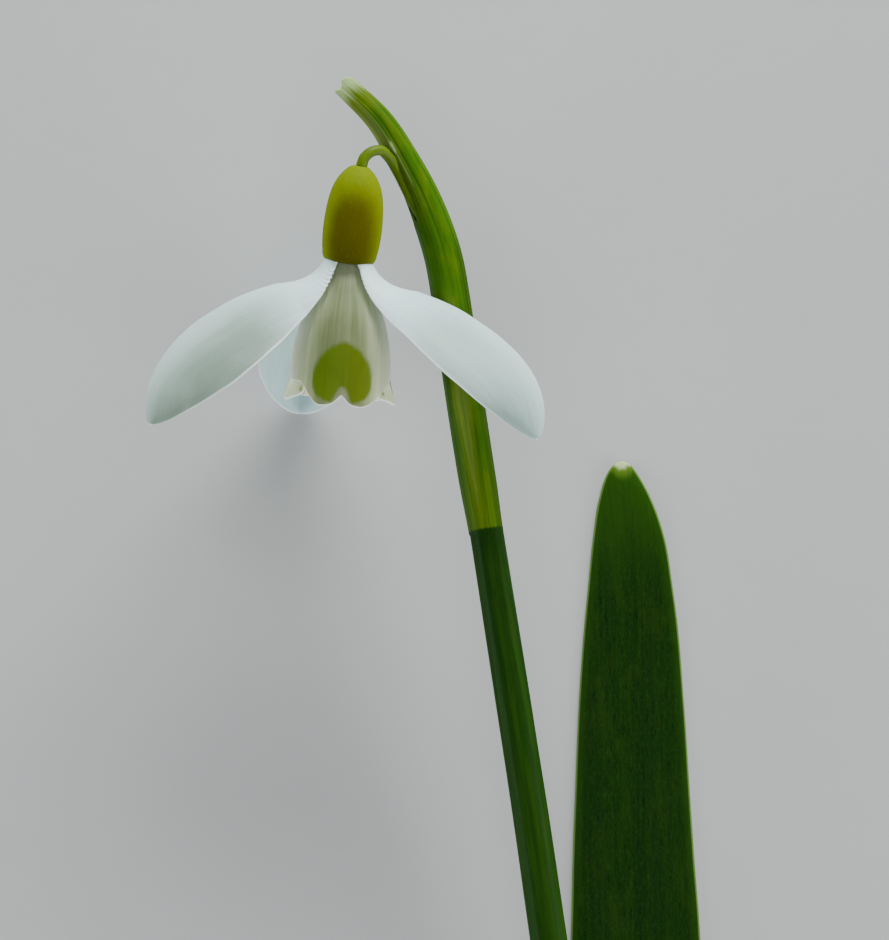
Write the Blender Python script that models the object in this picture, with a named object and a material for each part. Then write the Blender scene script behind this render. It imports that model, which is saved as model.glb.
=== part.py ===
"""A snowdrop as picked: the flower on its scape with one leaf and the basal sheath, laid on its back.

Frame: +Z up from the surface it lies on, +Y along the stem towards the flower end, origin under the middle
of the whole, on the surface. The leaf lies flat on the surface, the stem rises from the sheath to the
flower, and the tip of the back outer tepal touches down. Lengths are in millimetres, angles in degrees.
"""
import math

import bpy
import numpy as np

MM = 0.001
GAP = 0.3                                   # kept between pieces that touch

# flower: its frame has the receptacle as origin, +Z up its axis to the ovary, -Y its front
RECEPTACLE = (-8.2, 57.0, 22.9)
FLOWER_PITCH = 6.0                          # tepal tips droop below the level
FLOWER_LEAN = 4.0                           # tips swing towards -X

OVARY_LEAN = 3.0
OVARY_PROFILE = ((0.15, 2.30), (0.9, 2.85), (3.4, 3.15), (6.2, 2.95), (8.4, 2.30), (9.6, 1.50), (10.1, 0.90))

# outer tepals
OUTER_LENGTH = 27.0
OUTER_HALF_WIDTH = 6.2
OUTER_CLAW_HALF_WIDTH = 1.3
OUTER_WIDEST = 0.58                         # place of the widest line, as a share of the length
OUTER_RING = 2.15                           # radius at which the claws stand
OUTER_DROP = 0.36                           # how far the claws start below the ovary
OUTER_WALL = 0.45
OUTER_ROLL_FULL = 0.2                       # the roll has its full value from this share of the length
OUTER_CUP = ((0.0, 38.0), (0.35, 31.0), (1.0, 74.0))
OUTER_RIB_PLACES = (0.0, 0.12, 0.35, 0.7, 1.0)
# name: azimuth from the front, its turn along the length, midrib's angle from the axis at the places, roll
OUTER_TEPALS = {
    "outer_tepal_left": (-67.0, -9.0, (31.0, 55.0, 62.0, 49.0, -11.0), 28.0),
    "outer_tepal_right": (72.0, 10.0, (37.0, 61.0, 68.0, 48.0, 3.0), -26.0),
    "outer_tepal_back": (193.0, 0.0, (34.0, 58.0, 66.0, 50.0, -4.0), 0.0),
}

# inner tepals: patches of one bell turned about the flower's axis, its radius by share of its height
BELL_PROFILE = ((0.0, 1.30), (0.12, 1.95), (0.4, 4.05), (0.62, 4.90), (0.87, 5.15), (1.0, 5.30))
BELL_HEIGHT = 14.6
INNER_WALL = 0.45
INNER_SPAN = 54.0                           # half the angle that one inner tepal covers
INNER_NOTCH = 0.075                         # depth of the notch, as a share of the height
INNER_NOTCH_WIDTH = 0.2
INNER_CORNER = 0.09                         # how much shorter the side edges are
INNER_TEPALS = {"inner_tepal_front": -2.0, "inner_tepal_right": 119.0, "inner_tepal_left": -123.0}

# stamens and style
STAMEN_COUNT = 6
STAMEN_RING = 0.76
STAMEN_SPREAD = 4.0
STAMEN_PROFILE = ((0.0, 0.18), (0.16, 0.17), (0.22, 0.33), (0.5, 0.32), (0.85, 0.15), (1.0, 0.05))
STAMEN_LENGTH = 7.4
STYLE_LENGTH = 9.0
STYLE_RADIUS = 0.26

# stem: routes of points in the part's own frame
SCAPE_ROUTE = (
    (20.1, -75.8, 3.75), (18.9, -62.0, 3.75), (17.5, -48.0, 4.4), (15.4, -31.0, 6.3), (12.8, -13.5, 8.7),
    (10.9, -0.5, 10.6), (9.7, 7.2, 11.9), (8.7, 13.6, 12.8), (7.5, 21.2, 14.0), (6.3, 28.9, 15.2),
)
SCAPE_RADIUS = ((0.0, 2.05), (0.6, 1.95), (1.0, 1.75))
SPATHE_ROUTE = (
    (6.2, 29.3, 15.3), (5.0, 36.5, 16.3), (3.7, 45.0, 17.4), (2.6, 53.0, 18.4), (1.7, 57.9, 19.1),
    (0.0, 62.9, 19.9), (-2.4, 67.8, 20.8), (-4.7, 71.6, 21.5), (-8.6, 75.3, 22.0),
)
SPATHE_WALL = 0.35
SPATHE_SIDE = ((0.0, 1.68), (0.3, 1.78), (0.7, 1.65), (0.9, 1.20), (1.0, 0.95))    # half-width in the plane
SPATHE_DEPTH = ((0.0, 1.68), (0.3, 1.75), (0.7, 1.60), (0.9, 1.10), (1.0, 0.75))   # half-width out of it
SPATHE_SLIT_FACES = 155.0                   # direction of the slit round the spathe, from +X towards +Z
SPATHE_SLIT_START = 0.46                    # the tube is closed below this share of its length
SPATHE_SLIT_HALF_ANGLE = 44.0
PEDICEL_ROUTE = (
    (-6.8, 67.3, 24.1), (-6.5, 67.9, 24.1), (-5.8, 68.5, 23.9), (-4.8, 68.7, 23.4), (-3.95, 68.1, 22.55),
    (-3.1, 66.8, 21.5), (-1.8, 64.3, 20.9), (-0.5, 61.2, 20.2), (0.7, 57.6, 19.45), (1.9, 53.8, 18.7),
    (3.1, 48.0, 17.8), (4.5, 39.0, 16.6), (5.9, 31.0, 15.55),
)
PEDICEL_RADIUS = 0.62

# leaf: stops of (distance from the tip, middle in X, half-width)
LEAF_TIP_Y = 36.4
LEAF_STOPS = (
    (0.0, 21.2, 0.5), (1.1, 21.2, 1.6), (3.8, 21.5, 2.7), (7.7, 21.8, 3.7), (14.2, 22.1, 4.7),
    (26.0, 22.2, 5.8), (41.6, 22.4, 6.5), (54.4, 22.65, 7.1), (70.4, 21.7, 6.2), (83.4, 20.4, 4.5),
    (91.4, 18.95, 2.4), (112.2, 20.1, 2.4),
)
LEAF_WALL = 0.8
LEAF_EDGE_WALL = 0.25
LEAF_FOLDING = (82.4, 91.4)                 # the base rises and folds up between these distances from tip
LEAF_BASE_LIFT = 0.7
LEAF_BASE_FOLD = 1.1                        # how far the edges rise above the middle in the sheath

# basal sheath
SHEATH_ROUTE = ((20.1, -76.0, 3.17), (19.6, -69.0, 3.17), (19.2, -62.0, 3.17), (18.75, -56.0, 3.35))
SHEATH_SIDE = ((0.0, 3.7), (0.6, 3.65), (1.0, 3.55))
SHEATH_DEPTH = ((0.0, 3.15), (0.6, 3.15), (1.0, 3.25))
SHEATH_WALL = 0.35
SHEATH_MOUTH_SLANT = 1.6                    # how much further the mouth reaches at its top than at its sides


def through(stops, places):
    """Smooth value at each place along stops of (place, value), by cubics with the neighbours' slopes."""
    x, y = np.transpose(np.asarray(stops, dtype=float))
    slope = np.gradient(y, x)
    i = np.clip(np.searchsorted(x, places, side="right") - 1, 0, len(x) - 2)
    h = x[i + 1] - x[i]
    u = (places - x[i]) / h
    value = (1 + 2 * u) * (1 - u) ** 2 * y[i] + u * u * (3 - 2 * u) * y[i + 1]
    return value + h * u * (1 - u) * ((1 - u) * slope[i] - u * slope[i + 1])


def path_through(points, count):
    """Evenly spaced points on a smooth curve through the route's points, by its length."""
    points = np.asarray(points, dtype=float)
    chord = np.concatenate(([0.0], np.cumsum(np.linalg.norm(np.diff(points, axis=0), axis=1))))
    fine = np.linspace(0.0, chord[-1], 40 * len(points))
    curve = np.stack([through(np.column_stack((chord, points[:, k])), fine) for k in range(3)], axis=1)
    length = np.concatenate(([0.0], np.cumsum(np.linalg.norm(np.diff(curve, axis=0), axis=1))))
    even = np.linspace(0.0, length[-1], count)
    return np.stack([np.interp(even, length, curve[:, k]) for k in range(3)], axis=1)


def frames(path):
    """Two unit directions across the path at each point: side, towards +X, and up, towards +Z."""
    forward = np.gradient(path, axis=0)
    forward /= np.linalg.norm(forward, axis=1)[:, None]
    side = np.cross(forward, (0.0, 0.0, 1.0))
    side /= np.linalg.norm(side, axis=1)[:, None]
    return side, np.cross(side, forward)


def material(name, colour, roughness):
    """A plain Principled material in one colour."""
    made = bpy.data.materials.new(name)
    made.use_nodes = True
    shader = made.node_tree.nodes["Principled BSDF"]
    shader.inputs["Base Color"].default_value = (*colour, 1.0)
    shader.inputs["Roughness"].default_value = roughness
    shader.inputs["Metallic"].default_value = 0.0
    return made


def add_object(name, points, faces, finish, parent):
    """Link one named object made of these points (mm) and faces, in its parent's frame."""
    mesh = bpy.data.meshes.new(name)
    mesh.from_pydata((np.asarray(points) * MM).tolist(), [], faces)
    mesh.materials.append(finish)
    mesh.shade_smooth()
    mesh.set_sharp_from_angle(angle=math.radians(50.0))
    made = bpy.data.objects.new(name, mesh)
    bpy.context.scene.collection.objects.link(made)
    made.parent = parent
    return made


def ring_faces(rows, around):
    """Quads between rows of points that close on themselves."""
    faces = []
    for r in range(rows - 1):
        for c in range(around):
            a = r * around + c
            b = r * around + (c + 1) % around
            faces.append((a, b, b + around, a + around))
    return faces


def loft(name, rings, finish, parent=None):
    """A closed solid through rings of points, with a flat cap at each end."""
    rows, around = rings.shape[:2]
    faces = ring_faces(rows, around)
    faces.append(tuple(reversed(range(around))))
    faces.append(tuple(range((rows - 1) * around, rows * around)))
    return add_object(name, rings.reshape(-1, 3), faces, finish, parent)


def tube(name, path, side_radius, up_radius, around, finish):
    """A loft of ellipses carried along a path."""
    side, up = frames(path)
    angle = np.linspace(0.0, 2 * math.pi, around, endpoint=False)
    across = np.cos(angle)[None, :, None] * side[:, None] * side_radius[:, None, None]
    upward = np.sin(angle)[None, :, None] * up[:, None] * up_radius[:, None, None]
    # the rings run from -Y to +Y, so the angle turns the other way round to face outwards
    return loft(name, (path[:, None] + across + upward)[:, ::-1], finish)


def sheet(name, grid, wall, finish, parent=None):
    """An open surface through a grid of points, given a wall centred on it."""
    rows, columns = grid.shape[:2]
    faces = []
    for r in range(rows - 1):
        for c in range(columns - 1):
            a = r * columns + c
            faces.append((a, a + 1, a + columns + 1, a + columns))
    made = add_object(name, grid.reshape(-1, 3), faces, finish, parent)
    return thicken(made, wall)


def thicken(made, wall):
    """Give an open surface its wall, half on each side."""
    solidify = made.modifiers.new("wall", "SOLIDIFY")
    solidify.thickness = wall * MM
    solidify.offset = 0.0
    return made


def outer_tepal(name, azimuth, turn, rib_angles, roll, finish, flower):
    """A spoon: arcs of the tepal's width, hung on a midrib that leaves the axis and curls back down."""
    rows, columns = 19, 9
    s = np.linspace(0.0, 1.0, rows)
    lean = np.radians(through(np.column_stack((OUTER_RIB_PLACES, rib_angles)), s))
    around = np.radians(azimuth + turn * s)
    tilt = np.radians(roll * np.clip(s / OUTER_ROLL_FULL, 0.0, 1.0))
    cup = np.radians(through(OUTER_CUP, s))
    outwards = np.stack((np.sin(around), -np.cos(around), 0 * s), axis=1)
    sideways = np.stack((np.cos(around), np.sin(around), 0 * s), axis=1)
    down = np.array((0.0, 0.0, -1.0))
    along = np.cos(lean)[:, None] * down + np.sin(lean)[:, None] * outwards
    back = np.cos(lean)[:, None] * outwards - np.sin(lean)[:, None] * down
    step = OUTER_LENGTH / (rows - 1)
    rib = np.concatenate((np.zeros((1, 3)), np.cumsum((along[1:] + along[:-1]) / 2 * step, axis=0)))
    rib += OUTER_RING * outwards[0] + OUTER_DROP * down
    across = np.cos(tilt)[:, None] * sideways - np.sin(tilt)[:, None] * back
    normal = np.cos(tilt)[:, None] * back + np.sin(tilt)[:, None] * sideways
    width = tepal_half_width(s)
    radius = (width / cup)[:, None, None]
    angle = (cup[:, None] * np.linspace(-1.0, 1.0, columns))[..., None]
    grid = rib[:, None] + radius * (np.sin(angle) * across[:, None] - (1 - np.cos(angle)) * normal[:, None])
    return sheet(name, grid, OUTER_WALL, finish, flower)


def tepal_half_width(s):
    """Half-width along an outer tepal: a narrow claw that swells to the widest line, then a rounded end."""
    swell = np.sin(np.clip(s / OUTER_WIDEST, 0.0, 1.0) * math.pi / 2) ** 1.4
    rise = OUTER_CLAW_HALF_WIDTH + (OUTER_HALF_WIDTH - OUTER_CLAW_HALF_WIDTH) * swell
    past = np.clip((s - OUTER_WIDEST) / (1.0 - OUTER_WIDEST), 0.0, 1.0)
    end = OUTER_HALF_WIDTH * np.sqrt(1.0 - 0.992 * past ** 2.4)
    return np.where(s < OUTER_WIDEST, rise, end)


def inner_tepal(name, azimuth, finish, flower):
    """A patch of the bell with a notch in the middle of its end and rounded corners."""
    rows, columns = 11, 13
    t = np.linspace(-1.0, 1.0, columns)
    end = 1.0 - INNER_NOTCH * np.exp(-(t / INNER_NOTCH_WIDTH) ** 2) - INNER_CORNER * t ** 6
    s = np.linspace(0.0, 1.0, rows)[:, None] * end
    radius = through(BELL_PROFILE, s)
    angle = np.radians(azimuth + INNER_SPAN * t)[None, :]
    height = -BELL_HEIGHT * s - GAP
    grid = np.stack((radius * np.sin(angle), -radius * np.cos(angle), height), axis=2)
    return sheet(name, grid, INNER_WALL, finish, flower)


def turned(profile, around):
    """Rings of a profile of (height, radius) turned about the Z axis."""
    height, radius = np.transpose(profile)
    angle = np.linspace(0.0, 2 * math.pi, around, endpoint=False)
    x = radius[:, None] * np.cos(angle)
    y = radius[:, None] * np.sin(angle)
    return np.stack((x, y, np.broadcast_to(height[:, None], x.shape)), axis=2)


def spindle(name, profile, length, finish, flower):
    """A thin turned piece that hangs down from its origin."""
    share, radius = np.transpose(profile)
    rings = turned(np.column_stack((-length * share, radius)), 8)
    return loft(name, rings[:, ::-1], finish, flower)


def hang(made, ring, lean, azimuth):
    """Place a hanging piece on a ring round the flower's axis, leaning away from it."""
    turn = math.radians(azimuth)
    made.location = (ring * math.sin(turn) * MM, -ring * math.cos(turn) * MM, -GAP * MM)
    made.rotation_euler = (-math.radians(lean), 0.0, turn)


def ovary(finish, flower):
    """The capsule: a profile turned about its own axis."""
    height = np.linspace(OVARY_PROFILE[0][0], OVARY_PROFILE[-1][0], 12)
    rings = turned(np.column_stack((height, through(OVARY_PROFILE, height))), 20)
    made = loft("ovary", rings, finish, flower)
    made.rotation_euler = (0.0, math.radians(OVARY_LEAN), 0.0)
    return made


def spathe(finish):
    """The folded bract: a closed tube at the foot that opens into a slit where the pedicel comes out."""
    rows, around = 30, 17
    path = path_through(SPATHE_ROUTE, rows)
    side, up = frames(path)
    s = np.linspace(0.0, 1.0, rows)
    open_share = np.clip((s - SPATHE_SLIT_START) / 0.2, 0.0, 1.0)
    half_slit = SPATHE_SLIT_HALF_ANGLE * open_share * (2 - open_share)
    turn = half_slit[:, None] + (360.0 - 2 * half_slit[:, None]) * np.linspace(0.0, 1.0, around)
    angle = np.radians(SPATHE_SLIT_FACES - turn)
    across = np.cos(angle)[..., None] * side[:, None] * through(SPATHE_SIDE, s)[:, None, None]
    upward = np.sin(angle)[..., None] * up[:, None] * through(SPATHE_DEPTH, s)[:, None, None]
    grid = path[:, None] + across + upward
    closed_rows = int(np.sum(open_share <= 0.0))
    index = np.arange(rows * around).reshape(rows, around)
    index[:closed_rows, -1] = index[:closed_rows, 0]
    faces = []
    for r in range(rows - 1):
        for c in range(around - 1):
            faces.append((index[r, c], index[r, c + 1], index[r + 1, c + 1], index[r + 1, c]))
    kept, renumbered = np.unique(np.asarray(faces), return_inverse=True)
    faces = renumbered.reshape(-1, 4).tolist()
    made = add_object("spathe", grid.reshape(-1, 3)[kept], faces, finish, None)
    return thicken(made, SPATHE_WALL)


def leaf(finish):
    """A strap with a flat underside on the surface, its wall thin at the edges, its base folded up."""
    rows, columns = 34, 9
    stops = np.asarray(LEAF_STOPS)
    tip_rows = 9
    tip_length = 8.4
    places = np.concatenate((np.linspace(0.0, tip_length, tip_rows),
                             np.linspace(tip_length + 4.0, stops[-1, 0], rows - tip_rows)))
    middle = through(stops[:, (0, 1)], places)
    half_width = through(stops[:, (0, 2)], places)
    t = np.linspace(-1.0, 1.0, columns)
    fold = np.clip((places - LEAF_FOLDING[0]) / (LEAF_FOLDING[1] - LEAF_FOLDING[0]), 0.0, 1.0)
    fold = (fold * fold * (3 - 2 * fold))[:, None]
    x = middle[:, None] + half_width[:, None] * t
    y = np.broadcast_to(LEAF_TIP_Y - places[:, None], x.shape)
    under = fold * (LEAF_BASE_LIFT + LEAF_BASE_FOLD * t ** 2)
    wall = LEAF_EDGE_WALL + (LEAF_WALL - LEAF_EDGE_WALL) * (1 - t ** 4)
    bottom = np.stack((x, y, under), axis=2)
    top = np.stack((x, y, under + wall), axis=2)
    return loft("leaf", np.concatenate((bottom, top[:, ::-1]), axis=1), finish)


def basal_sheath(finish):
    """A short pale tube round the feet of leaf and scape, cut straight at the foot, slanted at the mouth."""
    rows, around = 8, 20
    path = path_through(SHEATH_ROUTE, rows)
    side, up = frames(path)
    share = np.linspace(0.0, 1.0, rows)
    half_side = (through(SHEATH_SIDE, share) - SHEATH_WALL / 2)[:, None, None]
    half_depth = (through(SHEATH_DEPTH, share) - SHEATH_WALL / 2)[:, None, None]
    angle = -np.linspace(0.0, 2 * math.pi, around, endpoint=False)
    across = np.cos(angle)[None, :, None] * side[:, None]
    upward = np.sin(angle)[None, :, None] * up[:, None]
    grid = path[:, None] + half_side * across + half_depth * upward
    grid[..., 1] += SHEATH_MOUTH_SLANT * share[:, None] ** 3 * np.sin(angle)
    made = add_object("basal_sheath", grid.reshape(-1, 3), ring_faces(rows, around), finish, None)
    return thicken(made, SHEATH_WALL)


def main():
    """Clear the scene and build every piece."""
    for old in list(bpy.data.objects):
        bpy.data.objects.remove(old, do_unlink=True)

    white = material("outer_tepal_white", (0.72, 0.80, 0.80), 0.45)
    inner = material("inner_tepal_white", (0.60, 0.62, 0.50), 0.50)
    capsule = material("ovary_yellow_green", (0.24, 0.25, 0.01), 0.35)
    orange = material("stamen_orange", (0.65, 0.28, 0.03), 0.55)
    pale_green = material("style_white", (0.70, 0.74, 0.55), 0.50)
    bract = material("spathe_green", (0.09, 0.20, 0.02), 0.40)
    stalk = material("pedicel_green", (0.22, 0.28, 0.03), 0.40)
    stem = material("scape_green", (0.03, 0.09, 0.01), 0.40)
    blade = material("leaf_green", (0.015, 0.06, 0.01), 0.45)
    pale = material("sheath_pale", (0.66, 0.68, 0.50), 0.50)

    flower = bpy.data.objects.new("flower_frame", None)
    bpy.context.scene.collection.objects.link(flower)
    flower.location = [value * MM for value in RECEPTACLE]
    flower.rotation_euler = (-math.radians(90.0 - FLOWER_PITCH), 0.0, -math.radians(FLOWER_LEAN))

    for name, (azimuth, turn, rib_angles, roll) in OUTER_TEPALS.items():
        outer_tepal(name, azimuth, turn, rib_angles, roll, white, flower)
    for name, azimuth in INNER_TEPALS.items():
        inner_tepal(name, azimuth, inner, flower)
    for k in range(STAMEN_COUNT):
        azimuth = 30.0 + 360.0 * k / STAMEN_COUNT
        made = spindle(f"stamen_{k + 1}", STAMEN_PROFILE, STAMEN_LENGTH, orange, flower)
        hang(made, STAMEN_RING, STAMEN_SPREAD, azimuth)
    style_profile = ((0.0, STYLE_RADIUS), (0.9, STYLE_RADIUS), (1.0, STYLE_RADIUS / 2))
    hang(spindle("style", style_profile, STYLE_LENGTH, pale_green, flower), 0.0, 0.0, 0.0)
    ovary(capsule, flower)

    scape_path = path_through(SCAPE_ROUTE, 30)
    scape_radius = through(SCAPE_RADIUS, np.linspace(0.0, 1.0, 30))
    tube("scape", scape_path, scape_radius, scape_radius, 12, stem)
    spathe(bract)
    pedicel_path = path_through(PEDICEL_ROUTE, 36)
    pedicel_radius = np.full(36, PEDICEL_RADIUS)
    tube("pedicel", pedicel_path, pedicel_radius, pedicel_radius, 8, stalk)
    leaf(blade)
    basal_sheath(pale)


main()
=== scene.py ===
"""A snowdrop as picked, piece by piece: white tepals round a bell of marked inner ones, stem, bract and leaf.

It lies on its back on a pale floor. The part's frame: +Z up, +Y along the stem towards the flower end.
Shapes are worked out in millimetres and degrees, and become metres when a mesh is made.
"""

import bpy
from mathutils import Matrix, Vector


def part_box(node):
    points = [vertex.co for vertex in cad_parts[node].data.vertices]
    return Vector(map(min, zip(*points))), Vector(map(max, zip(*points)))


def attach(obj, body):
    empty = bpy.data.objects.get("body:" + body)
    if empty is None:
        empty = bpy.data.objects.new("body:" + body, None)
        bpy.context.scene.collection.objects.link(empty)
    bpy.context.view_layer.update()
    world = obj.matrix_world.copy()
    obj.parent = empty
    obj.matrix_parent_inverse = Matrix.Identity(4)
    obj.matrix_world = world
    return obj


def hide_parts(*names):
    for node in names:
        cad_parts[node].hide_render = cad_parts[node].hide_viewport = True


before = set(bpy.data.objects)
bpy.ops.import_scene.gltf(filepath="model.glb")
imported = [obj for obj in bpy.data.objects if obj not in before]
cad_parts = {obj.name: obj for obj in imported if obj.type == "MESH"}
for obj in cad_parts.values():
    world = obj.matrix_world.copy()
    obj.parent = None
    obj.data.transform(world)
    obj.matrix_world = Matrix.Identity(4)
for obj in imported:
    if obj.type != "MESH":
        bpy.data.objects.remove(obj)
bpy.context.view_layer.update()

import math

import bmesh
import bpy
import numpy as np
from bpy.props import FloatProperty, FloatVectorProperty, PointerProperty

bl_info = {
    "name": "Snowdrop",
    "version": (1, 0, 0),
    "blender": (4, 5, 0),
    "location": "View3D > Sidebar > Snowdrop",
    "description": "Builds a picked snowdrop piece by piece, with its finishes and a plain stage",
    "category": "Add Mesh",
}

MM = 0.001
BODY = "root"

# flower: its frame has the receptacle as origin, +Z up its axis to the ovary, -Y its front
OVARY_MIDDLE = (0.401, 4.947, 0.337)        # the middle of the ovary's box, from the receptacle
FLOWER_PITCH = 6.0
FLOWER_LEAN = 4.0
EMBEDDED = 0.03                             # share of a tepal's length that reaches up into the ovary

OVARY_LEAN = 3.0
OVARY_PROFILE = (
    (0.0, 2.35), (0.3, 2.62), (1.26, 2.90), (2.25, 3.02), (3.5, 3.08), (4.8, 3.04), (5.9, 2.95), (6.8, 2.82),
    (7.7, 2.60), (8.7, 2.18), (9.5, 1.62), (10.0, 1.10), (10.25, 0.78),
)

OUTER_ROLL_FULL = 0.2
OUTER_CUP = ((0.0, 38.0), (0.35, 31.0), (1.0, 74.0))
OUTER_RIB_PLACES = (0.0, 0.12, 0.35, 0.7, 1.0)
# name: azimuth from the front, its turn, the midrib's angle from the axis at the places, roll, crinkled edge,
# length and half-width as shares of the flower's, half-width of the claw, widest place, swell, fullness of
# the end, ring and drop of the claw's start
OUTER_TEPALS = {
    "outer_tepal_left": (-64.64, -4.41, (26.3, 57.8, 59.2, 45.4, 1.2), 25.7, 1,
                         0.987, 0.953, 1.409, 0.580, 1.157, 1.829, 2.334, -0.015),
    "outer_tepal_right": (73.7, 3.01, (29.5, 63.4, 64.45, 48.7, -4.9), -23.5, -0.35,
                          0.994, 0.963, 1.724, 0.591, 0.972, 2.265, 2.381, 0.256),
    "outer_tepal_back": (192.9, -1.59, (33.3, 54.0, 63.2, 47.3, 0.4), -6.4, 0,
                         1.020, 1.048, 1.300, 0.588, 1.400, 2.467, 2.070, 0.374),
}

BELL_PROFILE = ((0.0, 1.30), (0.12, 1.95), (0.4, 4.10), (0.62, 4.88), (0.85, 5.12), (1.0, 5.22))
# name: azimuth, half its span, the notch's place in it, stand-off from the bell at one edge, the middle and
# the other edge, flare at the end, loss of length at the two corners with the angles it comes in over,
# half-angle of the mark
INNER_TEPALS = {
    "inner_tepal_front": (0.0, 82.0, 3.7, (0.18, 0.18, 0.18), 0.04,
                          (0.15, 23.0, 53.0), (0.15, 20.0, 68.0), 34.0),
    "inner_tepal_right": (119.0, 74.0, 0.0, (-0.22, 0.0, 0.15), 0.66,
                          (0.06, 22.0, 72.0), (0.05, 20.0, 70.0), 35.0),
    "inner_tepal_left": (-122.0, 78.0, 0.0, (-0.22, 0.0, -0.2), 0.52,
                          (0.05, 20.0, 70.0), (0.045, 40.0, 72.0), 35.0),
}
NOTCH_ANGLE = 8.0
NOTCH_DEPTH = 0.080
PLEAT_PITCH = 0.43                          # of the claws' crinkled edges
PLEAT_DEPTH = 0.22

STAMEN_COUNT = 6
STAMEN_RING = 0.76
STAMEN_SPREAD = 4.0
STAMEN_FIRST = 30.0
STAMEN_LENGTH = 7.4
STYLE_LENGTH = 9.0

# stem: routes in the part's own frame
SCAPE_ROUTE = (
    (20.1, -75.8, 3.75), (18.9, -62.0, 3.75), (17.5, -48.0, 4.4), (15.4, -31.0, 6.3), (12.8, -13.5, 8.7),
    (10.9, -0.5, 10.6), (9.7, 7.2, 11.9), (8.7, 13.6, 12.8), (7.5, 21.2, 14.0), (6.2, 29.4, 15.3),
)
SPATHE_ROUTE = (
    (6.28, 28.75, 15.2), (5.0, 36.5, 16.3), (3.7, 45.0, 17.4), (2.6, 53.0, 18.4), (1.7, 57.9, 19.1),
    (0.0, 62.9, 19.9), (-2.4, 67.8, 20.8), (-4.7, 71.6, 21.5), (-9.1, 76.0, 22.1),
)
SPATHE_SIDE = ((0.0, 1.70), (0.06, 1.73), (0.3, 1.78), (0.7, 1.65), (0.9, 1.20), (1.0, 1.0))
SPATHE_DEPTH = ((0.0, 1.70), (0.06, 1.72), (0.3, 1.75), (0.7, 1.60), (0.88, 1.12), (1.0, 0.27))
SPATHE_LIPS = (111.0, 199.0)                # directions of the slit's two lips, from +X towards +Z
SPATHE_CROTCH = 0.665                       # share of the length at which the slit begins
SPATHE_TUCKED = 106.0                       # direction of the far lip where it is tucked under the near one
PEDICEL_ROUTE = (
    (-6.82, 66.9, 24.1), (-6.46, 67.9, 24.1), (-5.78, 68.5, 23.9), (-4.86, 68.7, 23.4), (-4.03, 68.1, 22.55),
    (-3.18, 66.8, 21.5), (-1.9, 64.3, 20.9), (-0.25, 61.2, 19.85), (1.1, 57.6, 19.2), (2.2, 53.8, 18.5),
    (3.3, 48.0, 17.7), (4.6, 39.0, 16.6), (5.9, 31.0, 15.55),
)
PEDICEL_SWELL = ((0.0, 1.08), (0.02, 1.03), (0.06, 0.98), (0.14, 0.98), (0.3, 1.0), (1.0, 1.0))

# leaf: stops of (distance from the tip, middle in X, half-width)
LEAF_STOPS = (
    (0.0, 21.17, 0.0), (1.1, 21.19, 1.44), (3.8, 21.48, 2.67), (7.7, 21.87, 3.74), (14.2, 22.1, 4.7),
    (26.0, 22.2, 5.8), (41.6, 22.4, 6.5), (54.4, 22.65, 7.1), (70.4, 21.7, 6.2), (83.4, 20.4, 4.5),
    (91.4, 18.95, 2.4), (112.2, 20.1, 2.4),
)
LEAF_TIP_WIDTH = 1.37                       # half-width a millimetre from the tip, growing with the root
LEAF_MIDDLE_X = 22.607                      # middle of the leaf's box, from which it is shifted to the CAD's
LEAF_FOLDING = (82.4, 91.4)
LEAF_BASE_LIFT = 0.7
LEAF_BASE_FOLD = 1.1

SHEATH_ROUTE = ((20.1, -76.0, 3.17), (19.6, -69.0, 3.17), (19.2, -62.0, 3.17), (18.75, -56.0, 3.35))
SHEATH_SIDE = ((0.0, 3.52), (0.6, 3.47), (1.0, 3.37))
SHEATH_DEPTH = ((0.0, 2.97), (0.6, 2.97), (1.0, 3.07))
SHEATH_MOUTH_SLANT = 1.6


# tints of the finishes in linear light, beside those that are settings
OUTER_CLOUD = (0.55, 0.66, 0.60)
# painted highlight along the outer tepals' rims
OUTER_RIM_HIGHLIGHT = (0.90, 0.95, 0.95)
# painted shade of the inner tepals' front middle, for the tissue and for its veins
INNER_FRONT_PAINTED_SHADE = (0.17, 0.20, 0.105)
INNER_FRONT_VEIN_PAINTED_SHADE = (0.125, 0.16, 0.07)
INNER_CLOUD = (0.30, 0.29, 0.20)
INNER_TURNED_OUT = (0.42, 0.50, 0.36)
OVARY_TOP = (0.125, 0.19, 0.004)
OVARY_LIGHT_GRAIN = (0.17, 0.22, 0.006)
OVARY_DARK_GRAIN = (0.06, 0.07, 0.0005)
STYLE_TIP = (0.35, 0.46, 0.14)
PEDICEL_LIGHT_GRAIN = (0.13, 0.20, 0.01)
PEDICEL_DARK_GRAIN = (0.03, 0.06, 0.001)
SCAPE_CLOUD = (0.018, 0.045, 0.004)
SCAPE_FOOT = (0.36, 0.42, 0.20)
LEAF_PATCH = (0.012, 0.034, 0.0008)
LEAF_SPECK = (0.013, 0.046, 0.004)
LEAF_GRAIN = (0.018, 0.052, 0.008)
LEAF_NEAR_TIP = (0.022, 0.085, 0.002)
LEAF_NEAR_MARGIN = (0.014, 0.052, 0.002)
LEAF_UNDER_HOOD = (0.10, 0.18, 0.015)
LEAF_FOOT = (0.44, 0.50, 0.26)
SHEATH_SPECK = (0.40, 0.36, 0.20)
SHEATH_MOUTH = (0.36, 0.30, 0.16)

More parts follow.
